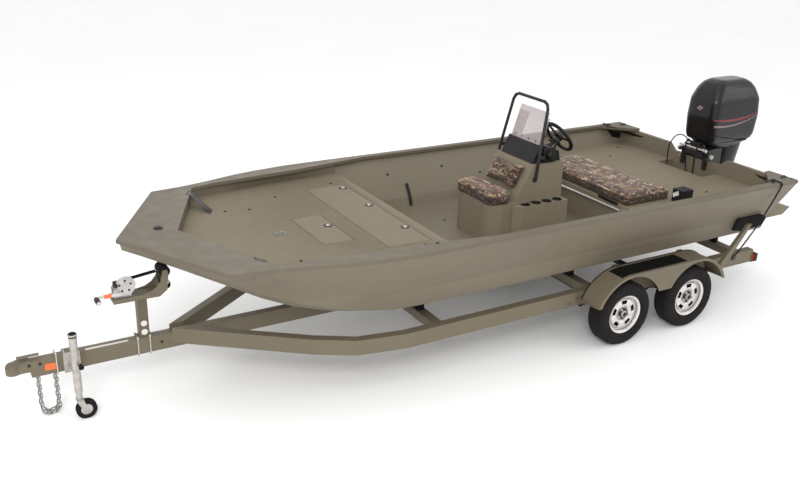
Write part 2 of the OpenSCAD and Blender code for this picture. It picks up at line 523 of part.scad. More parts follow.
module coupler() color(frame_c) difference() {
    union() {
        translate([0, 40, 0]) rotate([90, 0, 0]) linear_extrude(80) polygon([[ax(nose_x - 170), z_tongue - 80], [ax(nose_x - 50), z_tongue - 80], [ax(nose_x - 50), z_tongue - 6], [ax(nose_x - 105), z_tongue + 12], [ax(nose_x - 170), z_tongue + 12]]);
        translate([ax(nose_x - 53), 0, z_tongue - 80]) rotate_extrude($fn = 64) polygon([[0, 0], [53, 0], [53, 52], [46, 70], [30, 82], [0, 86]]);
        box(ax(nose_x - 150), ax(nose_x - 128), -9, 9, z_tongue, z_tongue + 40);
        box(ax(nose_x - 240), ax(nose_x - 85), -16, 16, z_tongue + 32, z_tongue + 40);
    }
    translate([ax(nose_x - 55), 0, z_tongue - 90]) cylinder(h = 60, r = 26, $fn = 64);
}
// Flat chain link with its middle at the origin, long along X
module link(l, w, d) translate([0, 0, -d / 2]) linear_extrude(d) difference() {
    slot(l, w);
    slot(l - 2 * d, w - 2 * d);
}
module slot(l, w) union() {
    for (s = [-1, 1]) translate([s * (l - w) / 2, 0]) circle(r = w / 2, $fn = 24);
    square([l - w, w], center = true);
}
link_l = 52;
link_p = link_l - 2 * chain_d - 0.6;
chain_leg = 250;
chain_bend = 62;
chain_x = 5060;
// Place and heading of a point along the hanging loop
function along(s) = s < chain_leg ? [-chain_bend, -s, -90] : s < chain_leg + PI * chain_bend ? let (a = 180 + (s - chain_leg) / chain_bend * 180 / PI) [chain_bend * cos(a), -chain_leg + chain_bend * sin(a), a + 90] : [chain_bend, -chain_leg + (s - chain_leg - PI * chain_bend), 90];
chain_n = floor((2 * chain_leg + PI * chain_bend) / link_p);
module safety_chains() color(steel) for (y = [-24, 24]) for (i = [0:chain_n]) let (p = along(i * (2 * chain_leg + PI * chain_bend) / chain_n))
    translate([ax(chain_x) + p[0], y, z_tongue - rail_h - link_l / 2 - 0.4 + p[1]]) rotate([0, -p[2], 0]) rotate([90 * (i % 2), 0, 0]) link(link_l, 30, chain_d);
jack_x = 4876;
jack_y = 188;
// Clamp plates and bolts round the tongue, with the jack's pivot
module jack_bracket() color(steel) union() {
    for (y = [-46, 38.2]) box(ax(jack_x - 60), ax(jack_x + 60), y, y + 7.8, z_tongue - rail_h - 16, z_tongue + 16);
    for (x = [-46, 46], z = [z_tongue + 8, z_tongue - rail_h - 8]) tube_y(ax(jack_x + x), -52, 54, z, 6);
    tube_y(ax(jack_x), 45, jack_y - 60, z_tongue - rail_h / 2, 32);
    tube_y(ax(jack_x), jack_y - 61, jack_y - 10, z_tongue - rail_h / 2, 15);
}
module jack_leg() color(steel) difference() {
    union() {
        translate([ax(jack_x), jack_y, 230]) cylinder(h = 470, r = 29, $fn = 48);
        translate([ax(jack_x), jack_y, 700]) cylinder(h = 14, r = 33, $fn = 48);
        translate([ax(jack_x), jack_y, 160]) cylinder(h = 80, r = 23, $fn = 48);
        tube_y(ax(jack_x), jack_y - 59, jack_y, z_tongue - rail_h / 2, 26);
        for (s = [-1, 1]) translate([0, jack_y + s * 30 + 3, 0]) rotate([90, 0, 0]) linear_extrude(6) polygon([[ax(jack_x + 25), 160], [ax(jack_x - 25), 160], [ax(jack_x - 58), jack_r - 14], [ax(jack_x - 22), jack_r - 14]]);
        box(ax(jack_x - 25), ax(jack_x + 25), jack_y - 33, jack_y + 33, 2 * jack_r + 4, 2 * jack_r + 18);
        tube_y(ax(jack_x - 40), jack_y - 30, jack_y + 30, jack_r, 8);
    }
    tube_y(ax(jack_x), jack_y - 62, jack_y - 9, z_tongue - rail_h / 2, 15.05);
}
module jack_wheel() color(black) difference() {
    tube_y(ax(jack_x - 40), jack_y - 20, jack_y + 20, jack_r, jack_r);
    tube_y(ax(jack_x - 40), jack_y - 30, jack_y + 30, jack_r, 8.05);
}

// Wheels and axles

sheet = 6;
// Middle of a wheel, ahead of or behind the axles' middle
axle_x = -54;
function wx(s) = ax(axle_x + s * axle_gap / 2);
fender_in = rail_y + 40;
fender_out = track_w + 36;
fender_foot = tyre_r + 153;
module fender_form(r) union() {
    for (s = [-1, 1]) translate([wx(s), tyre_r]) circle(r = r, $fn = 120);
    translate([wx(-1), 0]) square([axle_gap, tyre_r + r]);
}
module fender_clip() translate([wx(-1) - 2 * tyre_r, fender_foot]) square([axle_gap + 4 * tyre_r, tyre_r + 200]);
module fender() color(frame_c) union() {
    translate([0, fender_out, 0]) rotate([90, 0, 0]) linear_extrude(fender_out - fender_in) intersection() {
        difference() {
            fender_form(tyre_r + roof_gap);
            fender_form(tyre_r + roof_gap - sheet);
        }
        fender_clip();
    }
    translate([0, fender_out, 0]) rotate([90, 0, 0]) linear_extrude(sheet) difference() {
        intersection() {
            fender_form(tyre_r + roof_gap - sheet / 2);
            fender_clip();
        }
        for (s = [-1, 1]) translate([wx(s), tyre_r + 14]) circle(r = tyre_r + fender_gap, $fn = 120);
        translate([wx(-1), 0]) square([axle_gap, tyre_r + 187]);
    }
    for (s = [-1, 1]) {
        // Foot plate out from the rail to the fender's end
        translate([0, 0, fender_foot]) linear_extrude(sheet) polygon([[wx(s) + s * (tyre_r + 36), rail_y + 0.3], [wx(s) + s * (tyre_r + 118), rail_y + 0.3], [wx(s) + s * (tyre_r + 80), fender_out], [wx(s) + s * (tyre_r + 62), fender_out]]);
        // Brace up to the roof over the wheel
        box(wx(s) - 28, wx(s) + 28, rail_y + 0.3, rail_y + 22, rail_z + 40, tyre_r + tyre_r + roof_gap - 3);
        box(wx(s) - 28, wx(s) + 28, rail_y + 0.3, fender_in + 30, tyre_r + tyre_r + roof_gap - 28, tyre_r + tyre_r + roof_gap - 3);
    }
}
module fender_port() fender();
module fender_starboard() mirror([0, 1, 0]) fender();
// One leaf of a spring, as an arc
module leaf(l, z) polygon(concat([for (i = [-6:6]) [l * i / 6, z + 24 * pow(l * i / 6 / 330, 2)]], [for (i = [6:-1:-6]) [l * i / 6, z + 8.2 + 24 * pow(l * i / 6 / 330, 2)]]));
// Axle tube with a leaf spring under each rail
module axle(s) color(black) union() {
    tube_y(wx(s), -track_w + tyre_w + 20, track_w - tyre_w - 20, tyre_r, 30);
    port_and_starboard() tube_y(wx(s), track_w - tyre_w - 21, track_w - hub_in - 0.3, tyre_r, 24);
    port_and_starboard() {
        translate([wx(s), rail_y - 10, 0]) rotate([90, 0, 0]) linear_extrude(rail_w - 20) union() {
            leaf(330, tyre_r + 44);
            leaf(230, tyre_r + 36);
            leaf(130, tyre_r + 28);
        }
        for (x = [-330, 330]) {
            tube_y(wx(s) + x, rail_y - rail_w + 10, rail_y - 10, rail_z - 18, 14);
            box(wx(s) + x - 14, wx(s) + x + 14, rail_y - rail_w + 10, rail_y - 10, rail_z - 18, rail_z);
        }
        box(wx(s) - 42, wx(s) + 42, rail_y - rail_w + 10, rail_y - 10, tyre_r + 20, tyre_r + 56);
    }
}
module axle_front() axle(1);
module axle_rear() axle(-1);
module tail_lamps() color(lamp_red) port_and_starboard() translate([0, 0, rail_z + 12]) linear_extrude(72) rounded(ax(-1602), ax(-1560.2), rail_y - rail_w - 14, rail_y + 22, 9);
rim_r = 182;
hub_in = 72;
module tyre(s) color(black) translate([wx(s), track_w, tyre_r]) rotate([90, 0, 0]) rotate_extrude($fn = 72) polygon([[rim_r, 22], [rim_r + 8, 14], [rim_r + 34, 3], [tyre_r - 62, 0], [tyre_r - 30, 6], [tyre_r - 12, 20], [tyre_r, 42], [tyre_r, tyre_w - 42], [tyre_r - 12, tyre_w - 20], [tyre_r - 30, tyre_w - 6], [tyre_r - 62, tyre_w], [rim_r + 34, tyre_w - 3], [rim_r, tyre_w - 18]]);
// Slotted disc wheel with hub, grease cap and lug nuts
module rim(s) color(steel) translate([wx(s), track_w, tyre_r]) rotate([90, 0, 0]) union() {
    difference() {
        rotate_extrude($fn = 72) polygon([[0, 24], [22, 24], [31, 31], [33, 55], [78, 50], [86, 44], [138, 48], [152, 64], [158, 62], [166, 26], [rim_r - 0.3, 20], [rim_r - 0.3, tyre_w - 18], [168, tyre_w - 18], [158, 124], [150, 78], [138, 62], [86, 58], [72, hub_in], [0, hub_in]]);
        for (a = [0:72:288]) rotate([0, 0, a + 18]) translate([0, 0, 30]) linear_extrude(60) rim_slot();
    }
    for (a = [0:72:288]) rotate([0, 0, a + 54]) translate([57, 0, 36]) cylinder(h = 20, r = 10, $fn = 6);
}
module rim_slot() union() {
    for (y = [-16, 16]) translate([112, y]) circle(r = 12, $fn = 32);
    translate([100, -16]) square([24, 32]);
}
module tyre_port_front() tyre(1);
module tyre_port_rear() tyre(-1);
module tyre_starboard_front() mirror([0, 1, 0]) tyre(1);
module tyre_starboard_rear() mirror([0, 1, 0]) tyre(-1);
module rim_port_front() rim(1);
module rim_port_rear() rim(-1);
module rim_starboard_front() mirror([0, 1, 0]) rim(1);
module rim_starboard_rear() mirror([0, 1, 0]) rim(-1);

hull_bottom();
side_port();
side_starboard();
fore_hull();
gunwale_port();
gunwale_starboard();
bow_plate();
front_deck();
hatch_large();
hatch_small();
transom();
rear_deck();
bench_cushion();
bench_rod();
console_body();
console_seat();
console_backrest();
windshield();
dash();
grab_rail();
steering_wheel();
side_rack();
stern_box();
motor_bracket();
motor_swivel();
motor_cowl();
motor_leg();
propeller();
tongue();
rail_port();
rail_starboard();
cross_front();
cross_mid();
cross_rear();
bunk_port();
bunk_starboard();
guide_port();
guide_starboard();
winch_post();
winch();
winch_strap();
bow_roller();
coupler();
safety_chains();
jack_bracket();
jack_leg();
jack_wheel();
fender_port();
fender_starboard();
tail_lamps();
axle_front();
axle_rear();
tyre_port_front();
tyre_port_rear();
tyre_starboard_front();
tyre_starboard_rear();
rim_port_front();
rim_port_rear();
rim_starboard_front();
rim_starboard_rear();
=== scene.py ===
import bpy
import bmesh
import random
from math import cos, pi, radians, sin
from mathutils import Matrix, Vector
from mathutils.bvhtree import BVHTree


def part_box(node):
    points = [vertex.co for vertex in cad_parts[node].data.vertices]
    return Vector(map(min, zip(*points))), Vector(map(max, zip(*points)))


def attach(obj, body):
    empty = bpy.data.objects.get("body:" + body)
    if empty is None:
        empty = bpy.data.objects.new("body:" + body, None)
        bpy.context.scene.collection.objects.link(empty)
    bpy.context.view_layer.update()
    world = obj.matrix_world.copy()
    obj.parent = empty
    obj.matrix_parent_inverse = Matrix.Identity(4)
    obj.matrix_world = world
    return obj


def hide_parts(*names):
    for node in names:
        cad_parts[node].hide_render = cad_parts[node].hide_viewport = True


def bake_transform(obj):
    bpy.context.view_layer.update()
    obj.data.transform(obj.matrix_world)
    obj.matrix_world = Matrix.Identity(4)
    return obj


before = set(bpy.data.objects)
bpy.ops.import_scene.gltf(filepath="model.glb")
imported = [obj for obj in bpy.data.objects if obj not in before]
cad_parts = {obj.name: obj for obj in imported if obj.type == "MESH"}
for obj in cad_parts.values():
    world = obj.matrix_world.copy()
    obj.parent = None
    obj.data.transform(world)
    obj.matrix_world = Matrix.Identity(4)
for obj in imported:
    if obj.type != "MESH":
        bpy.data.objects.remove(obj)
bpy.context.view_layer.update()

ROOT = "boat_and_trailer"
SHIFT = 1.523            # middle of the length ahead of the axles' middle
AXLES = (0.352, -0.460)  # front and rear wheels
HUB_Z = 0.302
SLOT_R = 0.112           # ring of slots in a rim
ARC_R = 0.4105           # trim on a fender's edge


def A(x, y, z):
    """A point given from the middle of the two axles."""
    return Vector((x - SHIFT, y, z))


def placed(name, data):
    """An object of this data, in the scene."""
    ob = bpy.data.objects.new(name, data)
    bpy.context.scene.collection.objects.link(ob)
    return ob


# Camera at the photograph's viewing angle: frame and focal length in pixels, sensor in mm

CAMERA = A(5.774, 6.267, 3.783)
WIDTH, HEIGHT, FOCAL, SENSOR = 800, 500, 886.08, 36
yaw, pitch, roll = (radians(a) for a in (-30.925, -22.272, 1.957))
fwd = Vector((sin(yaw) * cos(pitch), -cos(yaw) * cos(pitch), sin(pitch)))
right = fwd.cross(Vector((0, 0, 1))).normalized()
up = right.cross(fwd)
right, up = right * cos(roll) + up * sin(roll), up * cos(roll) - right * sin(roll)
cam_data = bpy.data.cameras.new("camera")
cam_data.sensor_width = SENSOR
cam_data.lens = SENSOR * FOCAL / WIDTH
cam_data.clip_end = 400
cam = placed("camera", cam_data)
m = Matrix((right, up, -fwd)).transposed().to_4x4()
m.translation = CAMERA
cam.matrix_world = m
bpy.context.scene.camera = cam
bpy.context.scene.view_settings.view_transform = "Standard"


# Materials

def srgb(r, g, b, a=1.0):
    def lin(c):
        c /= 255
        return c / 12.92 if c <= 0.04045 else ((c + 0.055) / 1.055) ** 2.4
    return (lin(r), lin(g), lin(b), a)


class Mat:
    """A node material with the object's own coordinates."""

    def __init__(self, name, rgb, rough=0.5, metal=0.0, **kw):
        self.mat = bpy.data.materials.new(name)
        self.mat.use_nodes = True
        self.nt = self.mat.node_tree
        self.bsdf = self.nt.nodes["Principled BSDF"]
        self.bsdf.inputs["Base Color"].default_value = srgb(*rgb)
        self.bsdf.inputs["Roughness"].default_value = rough
        self.bsdf.inputs["Metallic"].default_value = metal
        for key, val in kw.items():
            self.bsdf.inputs[key.replace("_", " ")].default_value = val
        self.coord = self.nt.nodes.new("ShaderNodeTexCoord").outputs["Object"]

    def node(self, kind, **kw):
        n = self.nt.nodes.new("ShaderNode" + kind)
        for key, val in kw.items():
            if key in n.inputs:
                n.inputs[key].default_value = val
            else:
                setattr(n, key, val)
        return n

    def link(self, a, b):
        self.nt.links.new(a, b)

    def mapped(self, scale=(1, 1, 1), rot=(0, 0, 0), loc=(0, 0, 0)):
        n = self.node("Mapping")
        n.inputs["Scale"].default_value = scale
        n.inputs["Rotation"].default_value = rot
        n.inputs["Location"].default_value = loc
        self.link(self.coord, n.inputs["Vector"])
        return n.outputs["Vector"]

    def noise(self, scale, detail=3.0, rough=0.5, vec=None):
        n = self.node("TexNoise", Scale=scale, Detail=detail, Roughness=rough)
        self.link(vec or self.coord, n.inputs["Vector"])
        return n.outputs["Fac"]

    def ramp(self, fac, stops, mode="LINEAR"):
        n = self.node("ValToRGB")
        n.color_ramp.interpolation = mode
        els = n.color_ramp.elements
        while len(els) < len(stops):
            els.new(0.5)
        for e, (pos, col) in zip(els, stops):
            e.position = pos
            e.color = col if len(col) == 4 else (*col, 1)
        self.link(fac, n.inputs["Fac"])
        return n.outputs["Color"]

    def mix(self, fac, a, b, mode="MIX"):
        n = self.node("Mix", data_type="RGBA", blend_type=mode)
        for sock, val in ((n.inputs[0], fac), (n.inputs[6], a), (n.inputs[7], b)):
            if isinstance(val, (int, float, tuple)):
                sock.default_value = val
            else:
                self.link(val, sock)
        return n.outputs[2]

    def tone(self, rgb, scale=3.0, amount=0.12, detail=4.0):
        """Broad light and dark variation of one colour."""
        c = srgb(*rgb)
        lo = tuple(v * (1 - amount) for v in c[:3])
        hi = tuple(min(1, v * (1 + amount)) for v in c[:3])
        col = self.ramp(self.noise(scale, detail), [(0.3, lo), (0.7, hi)])
        self.link(col, self.bsdf.inputs["Base Color"])
        return col

    def rough_noise(self, lo, hi, scale=20.0):
        col = self.ramp(self.noise(scale, 4.0), [(0.3, (lo,) * 3), (0.7, (hi,) * 3)])
        self.link(col, self.bsdf.inputs["Roughness"])

    def bump(self, height, strength, dist=0.002):
        n = self.node("Bump", Strength=strength, Distance=dist)
        self.link(height, n.inputs["Height"])
        self.link(n.outputs["Normal"], self.bsdf.inputs["Normal"])
        return n


def paint(name, rgb, rough=0.5, grain=700.0, bump=0.12, amount=0.05, edge_paleness=0.35, **kw):
    """Coated surface: broad tone, fine grain, and sharp outer edges made a little paler."""
    p = Mat(name, rgb, rough, **kw)
    col = p.tone(rgb, 2.2, amount)
    fine = p.ramp(p.noise(grain * 0.5, 2.0), [(0.3, (0.94, 0.94, 0.94)), (0.7, (1, 1, 1))])
    col = p.mix(1.0, col, fine, "MULTIPLY")
    # sharp outer edges, found by pointiness, are mixed towards a paler copy of the colour
    edge = p.node("NewGeometry").outputs["Pointiness"]
    edge_mask = p.ramp(edge, [(0.52, (0, 0, 0)), (0.6, (edge_paleness,) * 3)])
    pale = tuple(min(1, v * 1.5 + 0.03) for v in srgb(*rgb)[:3]) + (1,)
    col = p.mix(edge_mask, col, pale)
    p.link(col, p.bsdf.inputs["Base Color"])
    p.rough_noise(rough - 0.06, min(1, rough + 0.08), 9.0)
    p.bump(p.noise(grain, 2.0), bump, 0.0006)
    return p.mat


hull_paint = paint("hull_paint", (100, 92, 76), 0.5, 500.0, 0.06, 0.04, Specular_IOR_Level=0.35)
topside_paint = paint("topside_paint", (91, 83, 69), 0.52, 500.0, 0.06, 0.03, 0.2, Specular_IOR_Level=0.3)
deck_paint = paint("deck_paint", (106, 97, 80), 0.74, 420.0, 0.5, 0.05, Specular_IOR_Level=0.3)
frame_paint = paint("frame_paint", (93, 85, 68), 0.5, 500.0, 0.08, Specular_IOR_Level=0.35)
black_plastic = paint("black_plastic", (20, 19, 19), 0.5, 900.0, 0.2, 0.2, 0.1, Specular_IOR_Level=0.3)
black_metal = paint("black_metal", (24, 23, 23), 0.42, 300.0, 0.15, 0.2, 0.3, Specular_IOR_Level=0.35)
rubber = paint("rubber", (24, 22, 21), 0.85, 260.0, 0.35, 0.2, 0.05, Specular_IOR_Level=0.15)
grip_pad = paint("grip_pad", (15, 14, 14), 0.95, 330.0, 1.0, 0.25, 0.1, Specular_IOR_Level=0.1)
carpet = paint("carpet", (27, 26, 26), 0.95, 900.0, 0.9, 0.3, 0.05, Specular_IOR_Level=0.1)
webbing = paint("webbing", (18, 17, 17), 0.9, 600.0, 0.6, 0.2, 0.05, Specular_IOR_Level=0.15)
motor_grey = paint("motor_grey", (17, 16, 17), 0.34, 600.0, 0.08, 0.1, 0.15, Specular_IOR_Level=0.35)
cowl_black = paint("cowl_black", (11, 9, 10), 0.3, 900.0, 0.01, 0.1, 0.02, Specular_IOR_Level=0.3, Coat_Weight=0.22, Coat_Roughness=0.05)
red_lens = paint("red_lens", (186, 20, 18), 0.15, 300.0, 0.05, 0.1, 0.05, Coat_Weight=0.6)
orange_tape = paint("orange_tape", (228, 104, 50), 0.5, 300.0, 0.1, 0.08, 0.1)
white_label = paint("white_label", (206, 204, 194), 0.55, 300.0, 0.05, 0.05, 0.05)
stripe_red = paint("stripe_red", (116, 26, 30), 0.25, 300.0, 0.02, 0.05, 0.05)
stripe_silver = paint("stripe_silver", (122, 104, 106), 0.3, 300.0, 0.02, 0.05, 0.05)


def steel(name, rgb, rough, grain=60.0):
    s = Mat(name, rgb, rough, 0.85)
    s.tone(rgb, grain, 0.12, 2.0)
    s.rough_noise(rough - 0.08, rough + 0.14, 40.0)
    s.bump(s.noise(240.0), 0.15, 0.0005)
    return s.mat


bright_steel = steel("bright_steel", (196, 193, 190), 0.38)
chain_steel = steel("chain_steel", (150, 147, 143), 0.28, 30.0)
zinc_steel = steel("zinc_steel", (184, 180, 174), 0.5, 25.0)
dull_steel = steel("dull_steel", (120, 118, 115), 0.5)
rim_silver = steel("rim_silver", (188, 185, 182), 0.34, 12.0)

shield = Mat("smoke_shield", (176, 166, 164), 0.08, Alpha=0.5, Specular_IOR_Level=0.3)
shield.tone((176, 166, 164), 5.0, 0.08)
shield.bump(shield.noise(3.0, 1.0), 0.02, 0.002)
smoke = shield.mat
smoke.surface_render_method = "BLENDED"


def polar(t, cx):
    """Distance across, radius and angle round a wheel's own middle, and a helper for sums."""
    place = t.node("Mapping")
    place.inputs["Location"].default_value = (-A(cx, 0, 0).x, 0, -HUB_Z)
    t.link(t.coord, place.inputs["Vector"])
    sep = t.node("SeparateXYZ")
    t.link(place.outputs["Vector"], sep.inputs["Vector"])

    def calc(op, a, b=None):
        n = t.node("Math", operation=op)
        for sock, val in zip(n.inputs, (a, b)):
            if isinstance(val, (int, float)):
                sock.default_value = val
            elif val is not None:
                t.link(val, sock)
        return n.outputs[0]
    x, y, z = (sep.outputs[i] for i in range(3))
    radius = calc("SQRT", calc("ADD", calc("MULTIPLY", x, x), calc("MULTIPLY", z, z)))
    return y, radius, calc("ARCTAN2", z, x), calc


def tyre_material(name, cx):
    """Rubber with moulded rings on the wall and ribs and blocks on the tread."""
    t = Mat(name, (26, 24, 23), 0.82, Specular_IOR_Level=0.18)
    t.tone((27, 25, 24), 5.0, 0.18)
    t.rough_noise(0.74, 0.92, 14.0)
    y, radius, turn, calc = polar(t, cx)
    rings = calc("SINE", calc("MULTIPLY", radius, 620.0))
    spokes = calc("SINE", calc("MULTIPLY", turn, 150.0))
    wall = calc("ADD", calc("MULTIPLY", rings, 0.5), calc("MULTIPLY", calc("GREATER_THAN", rings, 0.6), calc("MULTIPLY", spokes, 0.25)))
    zig = calc("MULTIPLY", calc("SINE", calc("MULTIPLY", turn, 66.0)), 0.004)
    ribs = calc("GREATER_THAN", calc("SINE", calc("MULTIPLY", calc("ADD", y, zig), 190.0)), -0.45)
    sipes = calc("GREATER_THAN", calc("SINE", calc("ADD", calc("MULTIPLY", turn, 132.0), calc("MULTIPLY", y, 60.0))), -0.75)
    tread = calc("MULTIPLY", ribs, sipes)
    top = calc("GREATER_THAN", radius, 0.286)
    height = calc("ADD", calc("MULTIPLY", top, calc("MULTIPLY", tread, 3.0)), calc("MULTIPLY", calc("SUBTRACT", 1.0, top), wall))
    t.bump(height, 0.9, 0.0022)
    return t.mat


def slot_angle(node, cx, side):
    """The angle of the wheel's first slot: there a ray goes deeper than beside it."""
    depth = {}
    for deg in (18, 54):
        a = radians(deg)
        loc, nor, _, _ = surface(node).ray_cast(A(cx + SLOT_R * cos(a), 2 * side, HUB_Z + SLOT_R * sin(a)), Vector((0, -side, 0)))
        depth[deg] = 2.0 if loc is None else 2 - abs(loc.y)
    return max(depth, key=depth.get)


def rim_material(name, cx, deg):
    """Silver paint with painted shade in the slots and in the pressed grooves, and darker towards the middle."""
    t = Mat(name, (214, 211, 207), 0.34, 0.6)
    y, radius, turn, calc = polar(t, cx)

    def band(lo, hi):
        return calc("MULTIPLY", calc("GREATER_THAN", radius, lo), calc("LESS_THAN", radius, hi))
    # painted shade: the ring of slots and the pressed grooves are painted near black, standing for the shadow in them
    lobes = calc("GREATER_THAN", calc("COSINE", calc("MULTIPLY", calc("SUBTRACT", turn, radians(deg)), 5.0)), 0.2)
    dark = calc("MAXIMUM", calc("MULTIPLY", band(0.093, 0.130), lobes), calc("MULTIPLY", band(0.138, 0.142), 0.75))
    # the middle is painted darker
    dark = calc("MAXIMUM", dark, calc("MULTIPLY", band(0.0, 0.07), 0.45))
    dark = calc("MAXIMUM", dark, calc("MULTIPLY", band(0.160, 0.163), 0.6))
    tone = t.tone((214, 211, 207), 9.0, 0.1)
    col = t.mix(dark, tone, srgb(26, 24, 23))
    t.link(col, t.bsdf.inputs["Base Color"])
    t.rough_noise(0.26, 0.46, 30.0)
    t.bump(calc("ADD", calc("SINE", calc("MULTIPLY", radius, 260.0)), t.noise(200.0)), 0.25, 0.0012)
    return t.mat


def camo():
    """Fine crossing reeds in several directions over a mottled grey-brown ground, with painted shade on faces that
    turn down or aside.
    """
    c = Mat("camo_fabric", (110, 88, 74), 0.88)
    ground = c.ramp(c.noise(11.0, 6.0), [(0.3, srgb(50, 38, 34)), (0.44, srgb(98, 78, 72)), (0.56, srgb(128, 104, 92)), (0.68, srgb(80, 60, 48)),
            (0.8, srgb(120, 98, 66))])
    tan, cream, bark, dark = srgb(176, 148, 110), srgb(226, 208, 176), srgb(104, 70, 48), srgb(34, 26, 23)
    mauve, rust, moss = srgb(116, 96, 94), srgb(168, 98, 60), srgb(112, 98, 62)
    layers = (
        (0.95, 8.0, 62.0, 0.47, 0.5, [(0.0, dark), (0.3, bark), (0.55, mauve), (0.8, moss)]),
        (-0.55, 8.0, 78.0, 0.48, 0.45, [(0.0, tan), (0.25, dark), (0.45, mauve), (0.7, rust), (0.82, tan)]),
        (1.6, 8.0, 80.0, 0.5, 0.34, [(0.0, cream), (0.2, bark), (0.5, tan), (0.8, dark)]),
        (-1.2, 7.0, 95.0, 0.5, 0.3, [(0.0, rust), (0.14, cream), (0.4, dark), (0.7, tan)]),
        (0.5, 7.0, 110.0, 0.52, 0.24, [(0.0, cream), (0.4, tan), (0.75, dark)]))
    col = ground
    for k, (turn, length, width, cut, share, palette) in enumerate(layers):
        lay = c.node("Mapping", vector_type="TEXTURE")
        lay.inputs["Scale"].default_value = (1 / length, 1 / width, 1.25 / width)
        lay.inputs["Rotation"].default_value = (0.1 * k, 0.12, turn)
        lay.inputs["Location"].default_value = (k * 3.1, k, 0)
        c.link(c.coord, lay.inputs["Vector"])
        vec = lay.outputs["Vector"]
        warp = c.node("TexNoise", Scale=1.6 + 0.4 * k, Detail=2.0)
        c.link(vec, warp.inputs["Vector"])
        add = c.node("VectorMath", operation="MULTIPLY_ADD")
        c.link(warp.outputs["Color"], add.inputs[0])
        add.inputs[1].default_value = (0.6, 2.6, 1.6)
        c.link(vec, add.inputs[2])
        vor = c.node("TexVoronoi", Scale=1.0)
        c.link(add.outputs[0], vor.inputs["Vector"])
        sep = c.node("SeparateColor")
        c.link(vor.outputs["Color"], sep.inputs["Color"])
        strokes = c.ramp(sep.outputs[0], palette, "CONSTANT")
        patch = c.ramp(c.noise(7.0 + 2 * k, 3.0, vec=c.mapped((1, 1, 1), loc=(k * 2.3, 1.1, 0))), [(cut - 0.03, (0, 0, 0)),
                (cut + 0.03, (1, 1, 1))])
        thin = c.ramp(sep.outputs[1], [(0.0, (0, 0, 0)), (1 - share, (1, 1, 1))], "CONSTANT")
        col = c.mix(c.mix(1.0, patch, thin, "MULTIPLY"), col, strokes)
    shade = c.ramp(c.noise(4.0, 2.0), [(0.3, (0.4, 0.38, 0.38)), (0.7, (0.74, 0.71, 0.7))])
    col = c.mix(1.0, col, shade, "MULTIPLY")
    # painted shade: faces that turn down or aside are darkened, as if the cushions' sides and undersides lie in shadow
    normal = c.node("SeparateXYZ")
    c.link(c.node("NewGeometry").outputs["Normal"], normal.inputs["Vector"])
    low = c.ramp(normal.outputs["Z"], [(0.0, (0.42, 0.38, 0.34)), (0.7, (1, 1, 1))])
    col = c.mix(1.0, col, low, "MULTIPLY")
    c.link(col, c.bsdf.inputs["Base Color"])
    weave = c.node("TexBrick", Scale=260.0)
    c.link(c.coord, weave.inputs["Vector"])
    c.bump(weave.outputs["Fac"], 0.25, 0.0006)
    c.bsdf.inputs["Sheen Weight"].default_value = 0.1
    return c.mat


camo_fabric = camo()
piping = paint("piping", (52, 38, 26), 0.7, 500.0, 0.3, 0.2)


# Surfaces of the model, and rays onto them

TREES = {}


def surface(names):
    if names not in TREES:
        verts, faces = [], []
        for name in names.split():
            me = bpy.data.objects[name].data
            base = len(verts)
            verts += [v.co.copy() for v in me.vertices]
            faces += [[base + i for i in p.vertices] for p in me.polygons]
        TREES[names] = BVHTree.FromPolygons(verts, faces)
    return TREES[names]


def meet(names, origin, way):
    """Where a ray meets the named nodes, from the middle of the axles, and the surface's direction."""
    loc, nor, _, _ = surface(names).ray_cast(origin, way)
    if loc is None:
        raise ValueError("no surface met on " + names)
    return loc + Vector((SHIFT, 0, 0)), (-nor if nor.dot(way) > 0 else nor)


def sight(u, v):
    """The line of sight through a place in the 800 by 500 frame."""
    return CAMERA, (fwd + right * ((u - WIDTH / 2) / FOCAL) + up * ((HEIGHT / 2 - v) / FOCAL)).normalized()


def down(x, y, z=3.0):
    return A(x, y, z), Vector((0, 0, -1))


def seen(top, bottom):
    """Lines of sight over the area between two rows of places in the frame."""
    def along(pts, u):
        f = u * (len(pts) - 1)
        i = min(int(f), len(pts) - 2)
        return [pts[i][k] + (pts[i + 1][k] - pts[i][k]) * (f - i) for k in (0, 1)]

    def ray(u, v):
        a, b = along(top, u), along(bottom, u)
        return sight(a[0] + (b[0] - a[0]) * v, a[1] + (b[1] - a[1]) * v)
    return ray


def above(x0, x1, y0, y1):
    return lambda u, v: down(x0 + (x1 - x0) * u, y0 + (y1 - y0) * v)


# Shapes


